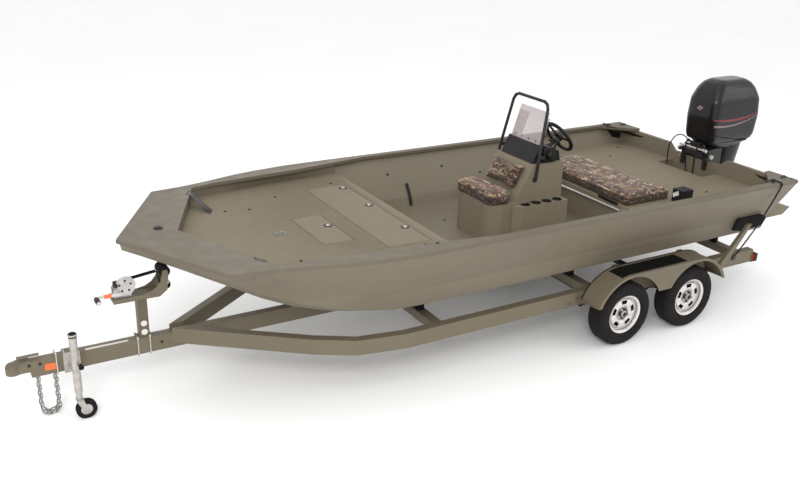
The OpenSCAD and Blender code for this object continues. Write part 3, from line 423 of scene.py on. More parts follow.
class Build:
    """Many small shapes gathered into one mesh, placed from the middle of the two axles."""

    def __init__(self):
        self.bm = bmesh.new()

    def box(self, lo, hi, bevel=0.0, seg=2, mat=None):
        lo, hi = Vector(lo), Vector(hi)
        r = bmesh.ops.create_cube(self.bm, size=1)
        vs = r["verts"]
        for v in vs:
            v.co = Vector([lo[i] if v.co[i] < 0 else hi[i] for i in range(3)])
        if bevel:
            es = list({e for v in vs for e in v.link_edges})
            r = bmesh.ops.bevel(self.bm, geom=es, offset=bevel, segments=seg, affect="EDGES", profile=0.5)
            vs = list({v for f in r["faces"] for v in f.verts} | {v for v in vs if v.is_valid})
        if mat:
            bmesh.ops.transform(self.bm, matrix=mat, verts=vs)
        return self

    def cyl(self, a, b, r, seg=20, r2=None, bevel=0.0):
        a, b = Vector(a), Vector(b)
        d = b - a
        rot = d.to_track_quat("Z", "Y").to_matrix().to_4x4()
        rot.translation = (a + b) / 2
        vs = bmesh.ops.create_cone(self.bm, cap_ends=True, segments=seg, radius1=r, radius2=r if r2 is None else r2, depth=d.length,
                matrix=rot)["verts"]
        if bevel:
            es = [e for e in {e for v in vs for e in v.link_edges} if any(len(f.verts) > 4 for f in e.link_faces)]
            bmesh.ops.bevel(self.bm, geom=es, offset=bevel, segments=2, affect="EDGES", profile=0.5)
        return self

    def ball(self, c, r, seg=16):
        bmesh.ops.create_uvsphere(self.bm, u_segments=seg, v_segments=seg // 2, radius=r, matrix=Matrix.Translation(c))
        return self

    def ring(self, c, axis, big, small, seg=32, sides=10, squash=1.0, spin=None):
        """A torus; squash stretches it along its own X."""
        axis = Vector(axis).normalized()
        rot = spin if spin else axis.to_track_quat("Z", "Y").to_matrix()
        grid = []
        for i in range(seg):
            t = 2 * pi * i / seg
            row = []
            for j in range(sides):
                s = 2 * pi * j / sides
                p = Vector(((big + small * cos(s)) * cos(t) * squash, (big + small * cos(s)) * sin(t), small * sin(s)))
                row.append(self.bm.verts.new(Vector(c) + rot @ p))
            grid.append(row)
        for i in range(seg):
            for j in range(sides):
                self.bm.faces.new((grid[i][j], grid[(i + 1) % seg][j], grid[(i + 1) % seg][(j + 1) % sides], grid[i][(j + 1) % sides]))
        return self

    def sweep(self, pts, r, sides=10, closed=False):
        """A round tube along points; r may be a list."""
        pts = [Vector(p) for p in pts]
        n = len(pts)
        rs = r if isinstance(r, (list, tuple)) else [r] * n
        tang = [((pts[(i + 1) % n] if closed else pts[min(i + 1, n - 1)]) - (pts[i - 1] if closed or i else pts[0])).normalized()
                for i in range(n)]
        nor = tang[0].orthogonal().normalized()
        rows = []
        for i in range(n):
            nor = (nor - tang[i] * nor.dot(tang[i])).normalized()
            bi = tang[i].cross(nor)
            rows.append([self.bm.verts.new(pts[i] + (nor * cos(2 * pi * j / sides) + bi * sin(2 * pi * j / sides)) * rs[i])
                    for j in range(sides)])
        for i in range(n if closed else n - 1):
            a, b = rows[i], rows[(i + 1) % n]
            for j in range(sides):
                self.bm.faces.new((a[j], a[(j + 1) % sides], b[(j + 1) % sides], b[j]))
        if not closed:
            self.bm.faces.new(rows[0][::-1])
            self.bm.faces.new(rows[-1])
        return self

    def strap(self, pts, width, thick, side):
        """A flat band along points; side is its width direction."""
        pts = [Vector(p) for p in pts]
        n = len(pts)
        rows = []
        for i, p in enumerate(pts):
            t = (pts[min(i + 1, n - 1)] - pts[max(i - 1, 0)]).normalized()
            s = Vector(side)
            s = (s - t * s.dot(t)).normalized()
            u = t.cross(s)
            rows.append([self.bm.verts.new(p + s * a * width / 2 + u * b * thick / 2) for a, b in ((-1, -1), (1, -1), (1, 1), (-1, 1))])
        for a, b in zip(rows, rows[1:]):
            for j in range(4):
                self.bm.faces.new((a[j], a[(j + 1) % 4], b[(j + 1) % 4], b[j]))
        self.bm.faces.new(rows[0][::-1])
        self.bm.faces.new(rows[-1])
        return self

    def lathe(self, profile, centre, axis, seg=48, closed=False):
        """Profile of (radius, height) turned round an axis."""
        rot = Vector(axis).normalized().to_track_quat("Z", "Y").to_matrix()
        c = Vector(centre)
        rows = []
        for r, h in profile:
            if r < 1e-6:
                rows.append([self.bm.verts.new(c + rot @ Vector((0, 0, h)))])
            else:
                rows.append([self.bm.verts.new(c + rot @ Vector((r * cos(2 * pi * i / seg), r * sin(2 * pi * i / seg), h))) for i in range(seg)])
        pairs = list(zip(rows, rows[1:])) + ([(rows[-1], rows[0])] if closed else [])
        for a, b in pairs:
            for i in range(seg):
                q = [a[i % len(a)], a[(i + 1) % len(a)], b[(i + 1) % len(b)], b[i % len(b)]]
                q = [v for k, v in enumerate(q) if v not in q[:k]]
                if len(q) > 2:
                    self.bm.faces.new(q)
        return self

    def prism(self, outline, lo, hi, axis="y", bevel=0.0):
        """An outline in the two other axes, pushed along axis from lo to hi."""
        def at(p, h):
            return {"x": (h, p[0], p[1]), "y": (p[0], h, p[1]), "z": (p[0], p[1], h)}[axis]
        a = [self.bm.verts.new(at(p, lo)) for p in outline]
        b = [self.bm.verts.new(at(p, hi)) for p in outline]
        n = len(a)
        fs = [self.bm.faces.new(a), self.bm.faces.new(b[::-1])]
        for i in range(n):
            fs.append(self.bm.faces.new((a[i], b[i], b[(i + 1) % n], a[(i + 1) % n])))
        if bevel:
            es = list({e for f in fs[:2] for e in f.edges})
            bmesh.ops.bevel(self.bm, geom=es, offset=bevel, segments=2, affect="EDGES", profile=0.5)
        return self

    def drape(self, names, ray, nu, nv, off=0.0015, thick=0.002, mirror=False):
        """A thin closed sheet that lies on the named nodes; ray(u, v) gives where each point comes from."""
        tree = surface(names)
        grid, last = [], None
        for i in range(nu + 1):
            row = []
            for j in range(nv + 1):
                origin, way = ray(i / nu, j / nv)
                loc, nor, _, _ = tree.ray_cast(origin, way)
                if loc is None:
                    loc, nor = last
                elif nor.dot(way) > 0:
                    nor = -nor
                last = (loc, nor)
                row.append((loc + Vector((SHIFT, 0, 0)), nor))
            grid.append(row)
        for flip in ((1, -1) if mirror else (1,)):
            tops, lows = [], []
            for row in grid:
                for rows, d in ((tops, off), (lows, off - thick)):
                    rows.append([self.bm.verts.new(((p + n * d).x, (p + n * d).y * flip, (p + n * d).z)) for p, n in row])
            for i in range(nu):
                for j in range(nv):
                    self.bm.faces.new((tops[i][j], tops[i + 1][j], tops[i + 1][j + 1], tops[i][j + 1]))
                    self.bm.faces.new((lows[i][j], lows[i][j + 1], lows[i + 1][j + 1], lows[i + 1][j]))
            rim = [(i, 0) for i in range(nu)] + [(nu, j) for j in range(nv)] + [(i, nv) for i in range(nu, 0, -1)] + [(0, j) for j in range(nv,
                    0, -1)]
            for (i, j), (k, l) in zip(rim, rim[1:] + rim[:1]):
                self.bm.faces.new((tops[i][j], lows[i][j], lows[k][l], tops[k][l]))
        return self

    def stud(self, names, ray, r=0.012, h=0.006, seg=14, mirror=False, r2=None):
        """A round fitting that stands square on the surface that a ray meets."""
        loc, nor = meet(names, *ray)
        for flip in ((1, -1) if mirror else (1,)):
            p, n = Vector((loc.x, loc.y * flip, loc.z)), Vector((nor.x, nor.y * flip, nor.z))
            self.cyl(p - n * 0.002, p + n * h, r, seg, r * 0.85 if r2 is None else r2)
        return self

    def done(self, name, mat, body=ROOT, slot=None):
        """The gathered shapes as one piece of the scene, with its material. The slot argument is not used."""
        bmesh.ops.recalc_face_normals(self.bm, faces=self.bm.faces)
        bmesh.ops.translate(self.bm, vec=(-SHIFT, 0, 0), verts=self.bm.verts)
        me = bpy.data.meshes.new(name)
        self.bm.to_mesh(me)
        self.bm.free()
        me.materials.append(mat)
        ob = placed(name, me)
        me.shade_smooth()
        me.set_sharp_from_angle(angle=radians(35))
        if body:
            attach(ob, body)
        return ob


def dress(node, mat):
    slots = bpy.data.objects[node].data.materials
    if slots:
        for i in range(len(slots)):
            slots[i] = mat
    else:
        slots.append(mat)


for names, mat in (
        ("hull_bottom side_port side_starboard fore_hull transom", hull_paint), ("gunwale_port gunwale_starboard bow_plate", topside_paint),
        ("front_deck hatch_large hatch_small rear_deck console_body", deck_paint),
        ("tongue rail_port rail_starboard cross_front cross_mid cross_rear winch_post coupler fender_port fender_starboard guide_port guide_starboard", frame_paint),
        ("dash side_rack stern_box", black_plastic), ("grab_rail steering_wheel motor_bracket motor_swivel propeller axle_front axle_rear",
        black_metal),
        ("motor_leg", motor_grey), ("motor_cowl", cowl_black), ("windshield", smoke), ("tail_lamps", red_lens),
        ("winch bench_rod", bright_steel), ("safety_chains", chain_steel), ("jack_leg jack_bracket", zinc_steel),
        ("jack_wheel bow_roller", rubber), ("winch_strap", webbing),
        ("bunk_port bunk_starboard", carpet), ("bench_cushion console_seat console_backrest", camo_fabric)):
    for node in names.split():
        dress(node, mat)

WHEELS = [(tag + end, cx, side) for tag, side in (("port_", 1), ("starboard_", -1)) for end, cx in zip(("front", "rear"), AXLES)]
for name, cx, side in WHEELS:
    dress("tyre_" + name, tyre_material("tyre_rubber_" + name, cx))
    dress("rim_" + name, rim_material("rim_silver_" + name, cx, slot_angle("rim_" + name, cx, side)))

HULL = "hull_bottom side_port side_starboard fore_hull gunwale_port gunwale_starboard bow_plate transom front_deck rear_deck"

# Hull fittings

b = Build()
for u, v, both in ((225, 211.5, 0), (249.5, 209.5, 0), (275, 197, 0), (301, 261, 0), (330.5, 183.5, 1), (387.5, 174.5, 1), (441.5, 166, 1),
                   (437.5, 243, 0), (444.5, 220, 0), (480, 172, 0), (610, 156, 1), (617.5, 147.5, 1), (620.5, 123, 1)):
    b.stud(HULL, sight(u, v), 0.013, 0.006, 16, mirror=both)
b.done("snap_studs", black_plastic)

b = Build()
for side in (1, -1):
    for x, y in ((-1.40, 1.135), (-1.60, 1.10)):
        p, n = meet(HULL, *down(x, y * side))
        b.box((p.x - 0.032, p.y - 0.018, p.z - 0.001), (p.x + 0.032, p.y + 0.018, p.z + 0.006), 0.0025)
        b.sweep([(p.x + 0.03 * t, p.y, p.z + 0.005 + 0.013 * cos(t * 1.5)) for t in (-1, -0.7, -0.35, 0, 0.35, 0.7, 1)], 0.0045, 10)
        for dx in (-0.024, 0.024):
            b.cyl((p.x + dx, p.y + 0.011, p.z + 0.005), (p.x + dx, p.y + 0.011, p.z + 0.008), 0.004, 8)
b.done("stern_cleats", black_metal)

b = Build()
b.drape(HULL, seen([(254.0, 256.8), (267.0, 260.2)], [(254.0, 259.2), (267.0, 262.6)]), 8, 2, 0.0014, 0.003, mirror=True)
b.done("bow_slots", black_plastic)

b = Build()
p, n = meet(HULL, *down(4.12, -0.10))
b.lathe([(0, 0.012), (0.016, 0.012), (0.018, 0.009), (0.03, 0.009), (0.036, 0.005), (0.038, -0.002)], p, n, 32)
for k in range(3):
    q = p + Vector((0.026 * cos(2.1 * k), 0.026 * sin(2.1 * k), 0.008))
    b.cyl(q, q + n * 0.004, 0.004, 8)
b.done("light_base", black_plastic)

# Plate with a bow eye on the front deck
b = Build()
p, n = meet(HULL, *sight(280, 233.5))
b.box((p.x - 0.05, p.y - 0.035, p.z - 0.001), (p.x + 0.05, p.y + 0.035, p.z + 0.003), 0.001)
b.lathe([(0, 0.013), (0.011, 0.012), (0.02, 0.007), (0.024, 0.0)], (p.x, p.y, p.z + 0.002), (0, 0, 1), 24)
for dx in (-0.038, 0.038):
    b.cyl((p.x + dx, p.y, p.z + 0.002), (p.x + dx, p.y, p.z + 0.006), 0.005, 12)
b.done("deck_plate", dull_steel)

# Flush latches of the lids
for name, node, body, spots in (("long_hatch_latches", "hatch_large", "long_hatch", ((2.25, -0.675), (2.256, -0.159), (2.245, 0.444))),
        ("short_hatch_latch", "hatch_small", "short_hatch", ((2.80, 0.142),))):
    b, c = Build(), Build()
    for x, y in spots:
        p, n = meet(node, *down(x, y))
        b.lathe([(0, 0.0015), (0.026, 0.0015), (0.028, 0.0035), (0.033, 0.004), (0.036, 0.002), (0.037, -0.001)], p, (0, 0, 1), 36)
        c.ring(p + Vector((0, 0, 0.0045)), (0, 0, 1), 0.018, 0.003, 28, 8)
        c.box(p + Vector((-0.004, -0.018, 0.0015)), p + Vector((0.004, 0.018, 0.0045)), 0.001)
    b.done(name, black_plastic, body)
    c.done(name + "_rings", bright_steel, body)

# Piano hinges' screws beside the lids
b = Build()
for x, y0, y1 in ((2.60, -0.76, 0.76), (3.03, -0.11, 0.49)):
    k = int((y1 - y0) / 0.09)
    for i in range(k + 1):
        y = y0 + (y1 - y0) * i / k
        p, n = meet(HULL, *down(x + 0.012, y))
        b.cyl(p - n * 0.001, p + n * 0.0022, 0.004, 10, 0.003)
b.done("hinge_screws", dull_steel)

# Dark slots, recess and handle on the hull; the sheet under the bench cushion's near end is painted shade.
b = Build()
# painted shade: a black sheet over the gap under the bench cushion's near end, where it lies in shadow
b.drape("rear_deck bench_cushion transom side_port hull_bottom", seen([(598, 194), (618, 203.2)], [(598.5, 197), (617, 206)]), 6, 2, 0.003,
        0.005)
b.drape(HULL, seen([(754, 173.5), (775, 181)], [(759, 177.5), (774, 184)]), 6, 3, 0.0012, 0.003, mirror=True)
b.drape(HULL, seen([(607, 130), (621, 133.5)], [(612, 137), (619, 138)]), 5, 3, 0.012, 0.014, mirror=True)
b.done("dark_recesses", black_plastic)

b = Build()
for y in (-0.70, 0.70):
    b.cyl((0.05, y - 0.022, 1.07), (0.05, y + 0.022, 1.07), 0.0165, 18, bevel=0.002)
b.done("rod_ends", black_plastic)

# Transom: bolts, drain and eyes
b = Build()
for u, v in ((680, 155), (703, 164)):
    b.stud("transom", sight(u, v), 0.014, 0.010, 6)
for side in (1, -1):
    for z in (0.92, 1.00):
        b.stud("transom", (A(-2.6, 0.17 * side, z), Vector((1, 0, 0))), 0.013, 0.012, 6)
    p, n = meet("transom", A(-2.6, 0.40 * side, 1.12), Vector((1, 0, 0)))
    b.sweep([p + Vector((-0.002, 0, 0.03)), p + Vector((-0.04, 0, 0.028)), p + Vector((-0.055, 0, 0)), p + Vector((-0.04, 0, -0.028)),
            p + Vector((-0.002, 0, -0.03))], 0.0065, 12)
p, n = meet("transom", A(-2.6, 0.0, 0.83), Vector((1, 0, 0)))
b.lathe([(0, 0.016), (0.010, 0.016), (0.012, 0.006), (0.022, 0.004), (0.024, -0.001)], p, n, 24)
b.done("transom_bolts", zinc_steel)

b = Build()
b.drape("stern_box", seen([(672.8, 193.2), (678.5, 191.0)], [(673.0, 197.0), (679.0, 195.2)]), 4, 2, 0.0012, 0.002)
b.done("box_label_blank", white_label)

# Welded seams: a thin bead round the deck edges
b = Build()
for side in (1, -1):
    b.sweep([meet("front_deck", *down(x, y * side))[0] + Vector((0, 0, 0.001)) for x, y in ((2.12, 0.84), (2.4, 0.84), (2.7, 0.83), (3.0, 0.81),
            (3.3, 0.75))], 0.0025, 6)
b.done("deck_beads", deck_paint)

# Console

b = Build()
for cx in (0.548, 0.670, 0.792, 0.914):
    b.lathe([(0, -0.066), (0.0365, -0.066), (0.0365, 0.0), (0.046, 0.0), (0.0465, 0.003), (0.044, 0.005), (0.036, 0.003), (0.0345, -0.002),
            (0.0335, -0.063), (0, -0.063)], (cx, 0.3325, 1.16), (0, 0, 1), 40)
b.done("cup_liners", black_plastic)

b = Build()
b.drape("dash", above(0.505, 0.70, -0.215, 0.215), 8, 12, 0.004, 0.006)
b.done("dash_panel", deck_paint)
b = Build()
for x, y, r in ((0.60, 0.10, 0.040), (0.60, -0.02, 0.030), (0.60, -0.12, 0.030)):
    p, n = meet("dash", *down(x, y))
    b.lathe([(0, 0.005), (r * 0.82, 0.005), (r * 0.86, 0.010), (r, 0.009), (r * 1.05, 0.003)], p, n, 36)
b.box((0.515, 0.12, 1.663), (0.545, 0.205, 1.672), 0.003)
for i in range(4):
    b.box((0.521, 0.128 + i * 0.019, 1.668), (0.539, 0.140 + i * 0.019, 1.678), 0.002)
b.done("gauges", black_plastic)

b = Build()
b.box((0.555, 0.232, 1.50), (0.690, 0.262, 1.64), 0.012, 3)
b.lathe([(0, 0.05), (0.030, 0.05), (0.040, 0.040), (0.045, 0.0)], (0.625, 0.258, 1.575), (0, 1, 0), 32)
b.sweep([(0.625, 0.302, 1.575), (0.62, 0.306, 1.62), (0.606, 0.306, 1.68), (0.598, 0.302, 1.712)], [0.014, 0.012, 0.011, 0.012], 14)
b.cyl((0.597, 0.262, 1.715), (0.597, 0.330, 1.715), 0.017, 20, bevel=0.004)
b.done("throttle", black_plastic)

b = Build()
for side in (1, -1):
    b.box((0.772, 0.281 * side - 0.012 * (side < 0) , 1.345), (0.812, 0.281 * side + 0.012 * (side > 0), 1.395), 0.004)
    for z in (1.352, 1.388):
        b.cyl((0.792, 0.285 * side, z), (0.792, 0.300 * side, z), 0.006, 6)
    p = Vector((0.735, 0.2935 * side, 1.56))
    b.box((p.x - 0.03, min(p.y, 0.262 * side), p.z - 0.016), (p.x + 0.03, max(p.y, 0.262 * side), p.z + 0.016), 0.004)
b.done("rail_clamps", black_metal)

# Steering wheel: rim grip, spokes' hub and cap
hub = Vector((0.31, 0, 1.646))
axis = Vector((-0.81915, 0, 0.57358))
spin = Matrix((Vector((0, 1, 0)), Vector((0, 1, 0)).cross(axis) * -1, axis)).transposed()
b = Build()
b.ring(hub, axis, 0.160, 0.0145, 64, 14)
b.lathe([(0, 0.026), (0.022, 0.025), (0.036, 0.018), (0.044, 0.004), (0.046, -0.012), (0, -0.012)], hub, axis, 36)
for k in range(20):
    t = 2 * pi * k / 20
    q = hub + spin @ Vector((0.160 * cos(t), 0.160 * sin(t), -0.0135))
    b.ball(q, 0.006, 8)
b.done("helm_grip", black_plastic, "helm_wheel")

# Windshield: screws along its foot
b = Build()
for y in (-0.15, -0.05, 0.05, 0.15):
    loc, nor, _, _ = surface("windshield dash").ray_cast(A(1.6, y, 1.685), Vector((-1, 0, 0)))
    if loc is not None:
        q = loc + Vector((SHIFT, 0, 0))
        b.cyl(q, q + Vector((0.006, 0, 0.001)), 0.007, 14, 0.005)
b.done("shield_screws", black_plastic)

# Cushions

CLOTH_FRAMES = 20
CLOTH = {"quality": 4, "mass": 0.3, "tension_stiffness": 12, "compression_stiffness": 12,
         "shear_stiffness": 4, "bending_stiffness": 0.3, "use_pressure": True}


def shaped(ob, *steps):
    """Carries out modifiers on the object's mesh, those it has and these."""
    for kind, settings in steps:
        mod = ob.modifiers.new(kind.lower(), kind)
        for key, val in settings.items():
            setattr(mod, key, val)
    mesh = bpy.data.meshes.new_from_object(ob.evaluated_get(bpy.context.evaluated_depsgraph_get()))
    ob.modifiers.clear()
    ob.data = mesh


def pillow(node, name, voxel, cap, force, rests=False):
    """A padded copy of the solid, swollen as cloth and kept close to it."""
    src = bpy.data.objects[node]
    me = src.data.copy()
    ob = placed(name, me)
    lo, hi = (Vector(v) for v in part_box(node))
    mid = (lo + hi) / 2
    size = hi - lo
    shrink = Vector([(s - 0.020) / s for s in size])
    for v in me.vertices:
        v.co = Vector([mid[i] + (v.co[i] - mid[i]) * shrink[i] for i in range(3)])
        if rests:
            v.co.z -= 0.006
    shaped(ob, ("REMESH", {"mode": "VOXEL", "voxel_size": voxel}), ("SMOOTH", {"factor": 0.5, "iterations": 5}))
    start = [v.co.copy() for v in ob.data.vertices]
    mod = ob.modifiers.new("cloth", "CLOTH")
    cs = mod.settings
    for key, val in CLOTH.items():
        setattr(cs, key, val)
    cs.uniform_pressure_force = force
    cs.effector_weights.gravity = 0
    mod.collision_settings.use_collision = False
    mod.point_cache.frame_start, mod.point_cache.frame_end = 1, CLOTH_FRAMES
    scene = bpy.context.scene
    for f in range(1, CLOTH_FRAMES + 1):
        scene.frame_set(f)
    shaped(ob)
    scene.frame_set(1)
    rng = random.Random(len(name))
    folds = [(rng.uniform(-1, 1), rng.uniform(-1, 1), rng.uniform(0, 6.28), rng.uniform(14, 30)) for _ in range(9)]
    for v, s0 in zip(ob.data.vertices, start):
        move = v.co - s0
        if move.length > cap:
            move *= cap / move.length
        p = s0 + move
        wave = sum(sin(a * p.x * k + c * p.y * k + f) for a, c, f, k in folds) / 9
        p += Vector((0, 0, 0.0035 * wave))
        if rests:
            p.z = max(p.z, lo.z + 0.001)
        p = Vector([min(max(p[i], lo[i] - 0.008), hi[i] + 0.008) for i in range(3)])
        v.co = p
    shaped(ob, ("SMOOTH", {"factor": 0.5, "iterations": 2}), ("SUBSURF", {"levels": 1, "render_levels": 1}))
    ob.data.materials.clear()
    ob.data.materials.append(camo_fabric)
    ob.data.shade_smooth()
    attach(ob, ROOT)
    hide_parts(node)
    return ob


def welt(ob, name, pts, r=0.0035):
    """A sewn cord that lies on the cushion along a closed line."""
    tree = BVHTree.FromPolygons([v.co.copy() for v in ob.data.vertices], [list(p.vertices) for p in ob.data.polygons])
    line = []
    for p in pts:
        loc, nor, _, _ = tree.find_nearest(Vector(p) - Vector((SHIFT, 0, 0)))
        line.append(loc + nor * (r * 0.4) + Vector((SHIFT, 0, 0)))
    for _ in range(3):
        line = [(line[i - 1] + line[i] * 2 + line[(i + 1) % len(line)]) / 4 for i in range(len(line))]
    Build().sweep(line, r, 8, closed=True).done(name, piping)


def rim_line(node, r, drop, n=8):
    """A rounded line round a solid, at a depth below its top."""
    lo, hi = (Vector(v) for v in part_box(node))
    x0, x1, y0, y1, z = lo.x + SHIFT + 0.004, hi.x + SHIFT - 0.004, lo.y + 0.004, hi.y - 0.004, hi.z - drop
    pts = []
    for cx, cy, a0 in ((x1 - r, y1 - r, 0), (x0 + r, y1 - r, 90), (x0 + r, y0 + r, 180), (x1 - r, y0 + r, 270)):
        for i in range(n + 1):
            a = radians(a0 + 90 * i / n)
            pts.append(Vector((cx + r * cos(a), cy + r * sin(a), z)))
    out = []
    for i, p in enumerate(pts):
        q = pts[(i + 1) % len(pts)]
        k = max(1, int((q - p).length / 0.03))
        out += [p + (q - p) * j / k for j in range(k)]
    return out


bench = pillow("bench_cushion", "bench_pad", 0.011, 0.022, 3.0, True)
seat = pillow("console_seat", "seat_pad", 0.008, 0.026, 3.0, True)
back = pillow("console_backrest", "back_pad", 0.007, 0.026, 3.0)
welt(bench, "bench_welt", rim_line("bench_cushion", 0.045, 0.016))
welt(bench, "bench_hem", rim_line("bench_cushion", 0.045, 0.084), 0.003)
welt(seat, "seat_welt", rim_line("console_seat", 0.10, 0.020))
welt(seat, "seat_hem", rim_line("console_seat", 0.10, 0.086), 0.003)

# Outboard

def softened(node, name, voxel, rounds, mat, body):
    """The solid's own form with its facets smoothed into one moulded skin."""
    ob = placed(name, bpy.data.objects[node].data.copy())
    shaped(ob, ("REMESH", {"mode": "VOXEL", "voxel_size": voxel}), ("SMOOTH", {"factor": 0.5, "iterations": rounds}))
    ob.data.materials.clear()
    ob.data.materials.append(mat)
    ob.data.shade_smooth()
    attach(ob, body)
    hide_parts(node)


softened("motor_cowl", "cowl_shell", 0.009, 26, cowl_black, "outboard")
for name, mat, top, low in (
        ("cowl_stripe_red", stripe_red, [(714, 120.2), (724, 120.2), (735, 119.0), (747, 116.0), (757, 112.2)],
         [(714, 121.4), (724, 122.4), (735, 121.2), (747, 117.8), (757, 112.7)]),
        ("cowl_stripe_silver", stripe_silver, [(714, 126.0), (724, 126.0), (735, 124.2), (747, 120.0), (757.4, 114.2)],
         [(714, 128.2), (724, 127.9), (735, 125.6), (747, 120.9), (757.4, 114.6)])):
    Build().drape("cowl_shell", seen(top, low), 24, 3, 0.0012, 0.002, mirror=True).done(name, mat, "outboard")
b = Build()
b.drape("cowl_shell", seen([(697, 107.5), (700, 105.4), (703.5, 107.4)], [(697, 107.9), (700, 110.4), (703.5, 107.8)]), 12, 4, 0.0015, 0.002)
b.done("cowl_badge_blank", stripe_silver, "outboard")

b = Build()
tree = surface("cowl_shell")
for side in (1, -1):
    line = []
    for u, v in ((690, 136), (697, 136.5), (706, 134.5), (715, 136), (725, 138), (735, 139.3), (745, 138.2), (752, 135.5), (758, 131)):
        loc, nor, _, _ = tree.ray_cast(*sight(u, v))
        if loc is not None:
            line.append(Vector((loc.x + SHIFT, loc.y * side, loc.z)) + Vector((nor.x, nor.y * side, nor.z)) * 0.001)
    b.sweep(line, 0.0042, 8)
b.done("cowl_seam", rubber, "outboard")

b = Build()
b.cyl((-1.60, -0.215, 1.27), (-1.60, 0.215, 1.27), 0.0165, 24)
for side in (1, -1):
    b.cyl((-1.60, 0.205 * side, 1.27), (-1.60, 0.228 * side, 1.27), 0.026, 6)
b.done("tilt_tube", zinc_steel)

b = Build()
b.cyl((-1.565, -0.19, 1.325), (-1.565, 0.13, 1.325), 0.012, 20)
b.cyl((-1.565, 0.13, 1.325), (-1.565, 0.17, 1.325), 0.017, 20)
b.done("steering_ram", bright_steel, "swivel")
b = Build()
for x, y, z, r in ((-1.585, -0.10, 1.375, 0.016), (-1.578, 0.05, 1.37, 0.013), (-1.58, 0.115, 1.36, 0.014)):
    b.cyl((x, y, z - 0.01), (x, y, z + 0.02), r, 18, bevel=0.003)
b.box((-1.60, -0.14, 1.335), (-1.57, 0.14, 1.352), 0.004)
b.box((-1.593, -0.06, 1.352), (-1.558, 0.02, 1.390), 0.006)
b.done("swivel_fittings", black_metal, "swivel")


def smooth_path(pts, n):
    """A rounded line through points."""
    pts = [Vector(p) for p in pts]
    out = []
    for i in range(n + 1):
        f = i / n * (len(pts) - 1)
        k = min(int(f), len(pts) - 2)
        t = f - k
        p0, p1, p2, p3 = pts[max(k - 1, 0)], pts[k], pts[k + 1], pts[min(k + 2, len(pts) - 1)]
        out.append(0.5 * ((2 * p1) + (p2 - p0) * t + (2 * p0 - 5 * p1 + 4 * p2 - p3) * t * t + (3 * p1 - p0 - 3 * p2 + p3) * t ** 3))
    return out


HOSES = (
    ("fuel_hose", 0.006, ((-1.60, -0.13, 1.385), (-1.54, -0.15, 1.43), (-1.47, -0.18, 1.42), (-1.42, -0.20, 1.33), (-1.41, -0.20, 1.20),
    (-1.42, -0.19, 1.08), (-1.45, -0.15, 1.0))),
    ("steering_hose", 0.007, ((-1.585, -0.06, 1.375), (-1.525, -0.052, 1.40), (-1.465, -0.02, 1.40), (-1.425, 0.02, 1.30), (-1.42, 0.05, 1.18),
    (-1.42, 0.07, 1.08), (-1.44, 0.08, 1.0))),
    ("power_cable", 0.008, ((-1.60, 0.09, 1.37), (-1.54, 0.10, 1.40), (-1.48, 0.12, 1.37), (-1.44, 0.14, 1.27), (-1.43, 0.15, 1.16),
    (-1.43, 0.15, 1.07), (-1.45, 0.14, 1.0))))
for name, r, pts in HOSES:
    path = smooth_path(pts, 28)
    ob = Build().sweep(path, r, 12).done(name, rubber, None)
    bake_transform(ob)

# Wheels

for name, cx, side in WHEELS:
    body = "wheel_" + name
    b = Build()
    y = 1.150 * side
    ax = (0, side, 0)
    b.lathe([(0, 0.0285), (0.015, 0.028), (0.021, 0.024), (0.0235, 0.018), (0.026, 0.004), (0.047, 0.003), (0.050, -0.004), (0.048, -0.02)],
            (cx, y, HUB_Z), ax, 32)
    b.done("hub_cover_" + name, black_metal, body)
    b = Build()
    b.lathe([(0.055, 0.0), (0.150, 0.0), (0.150, 0.012), (0.055, 0.012)], (cx, 1.085 * side, HUB_Z), ax, 40, closed=True)
    b.done("drum_" + name, black_metal, body)
    b = Build()
    for k in range(5):
        t = radians(54 + 72 * k)
        c = Vector((cx + 0.057 * cos(t), 0, HUB_Z + 0.057 * sin(t)))
        b.cyl((c.x, 1.152 * side, c.z), (c.x, 1.168 * side, c.z), 0.0105, 6, 0.0095)
    b.lathe([(0.158, 0.010), (0.163, 0.014), (0.168, 0.010)], (cx, 1.152 * side, HUB_Z), ax, 56)
    b.sweep([(cx + 0.172 * cos(radians(250)), 1.160 * side, HUB_Z + 0.172 * sin(radians(250))), (cx + 0.163 * cos(radians(250)), 1.182 * side,
            HUB_Z + 0.163 * sin(radians(250)))], 0.004, 8)
    b.done("lug_nuts_" + name, bright_steel, body)

# Fenders: step pad, edge trim and bolts

for side, tag in ((1, "port"), (-1, "starboard")):
    b = Build()
    b.drape("fender_" + tag, above(-0.315, 0.475, 1.035 * side, 1.205 * side), 34, 6, 0.003, 0.004)
    b.done("step_pad_" + tag, grip_pad)
    b = Build()
    front, rear = ([(cx + ARC_R * cos(radians(a)), HUB_Z + ARC_R * sin(radians(a))) for a in turn]
                   for cx, turn in zip(AXLES, (range(24, 91, 6), range(90, 157, 6))))
    arc = front + [(AXLES[0] + (AXLES[1] - AXLES[0]) * i / 8, HUB_Z + ARC_R) for i in range(1, 8)] + rear
    b.sweep([(x, 1.001 * side, z) for x, z in arc], 0.0055, 8)
    b.done("fender_trim_" + tag, rubber, slot="rubber")
    b = Build()
    b.stud("rail_" + tag, tuple(Vector((w.x, w.y * side, w.z)) for w in sight(569, 304)), 0.012, 0.010, 6)
    for x in AXLES:
        for dx in (-0.018, 0.018):
            p, n = meet("fender_" + tag, *down(x + dx, 1.018 * side))
            b.cyl(p - n * 0.001, p + n * 0.006, 0.008, 6)
    b.done("fender_bolts_" + tag, dull_steel)

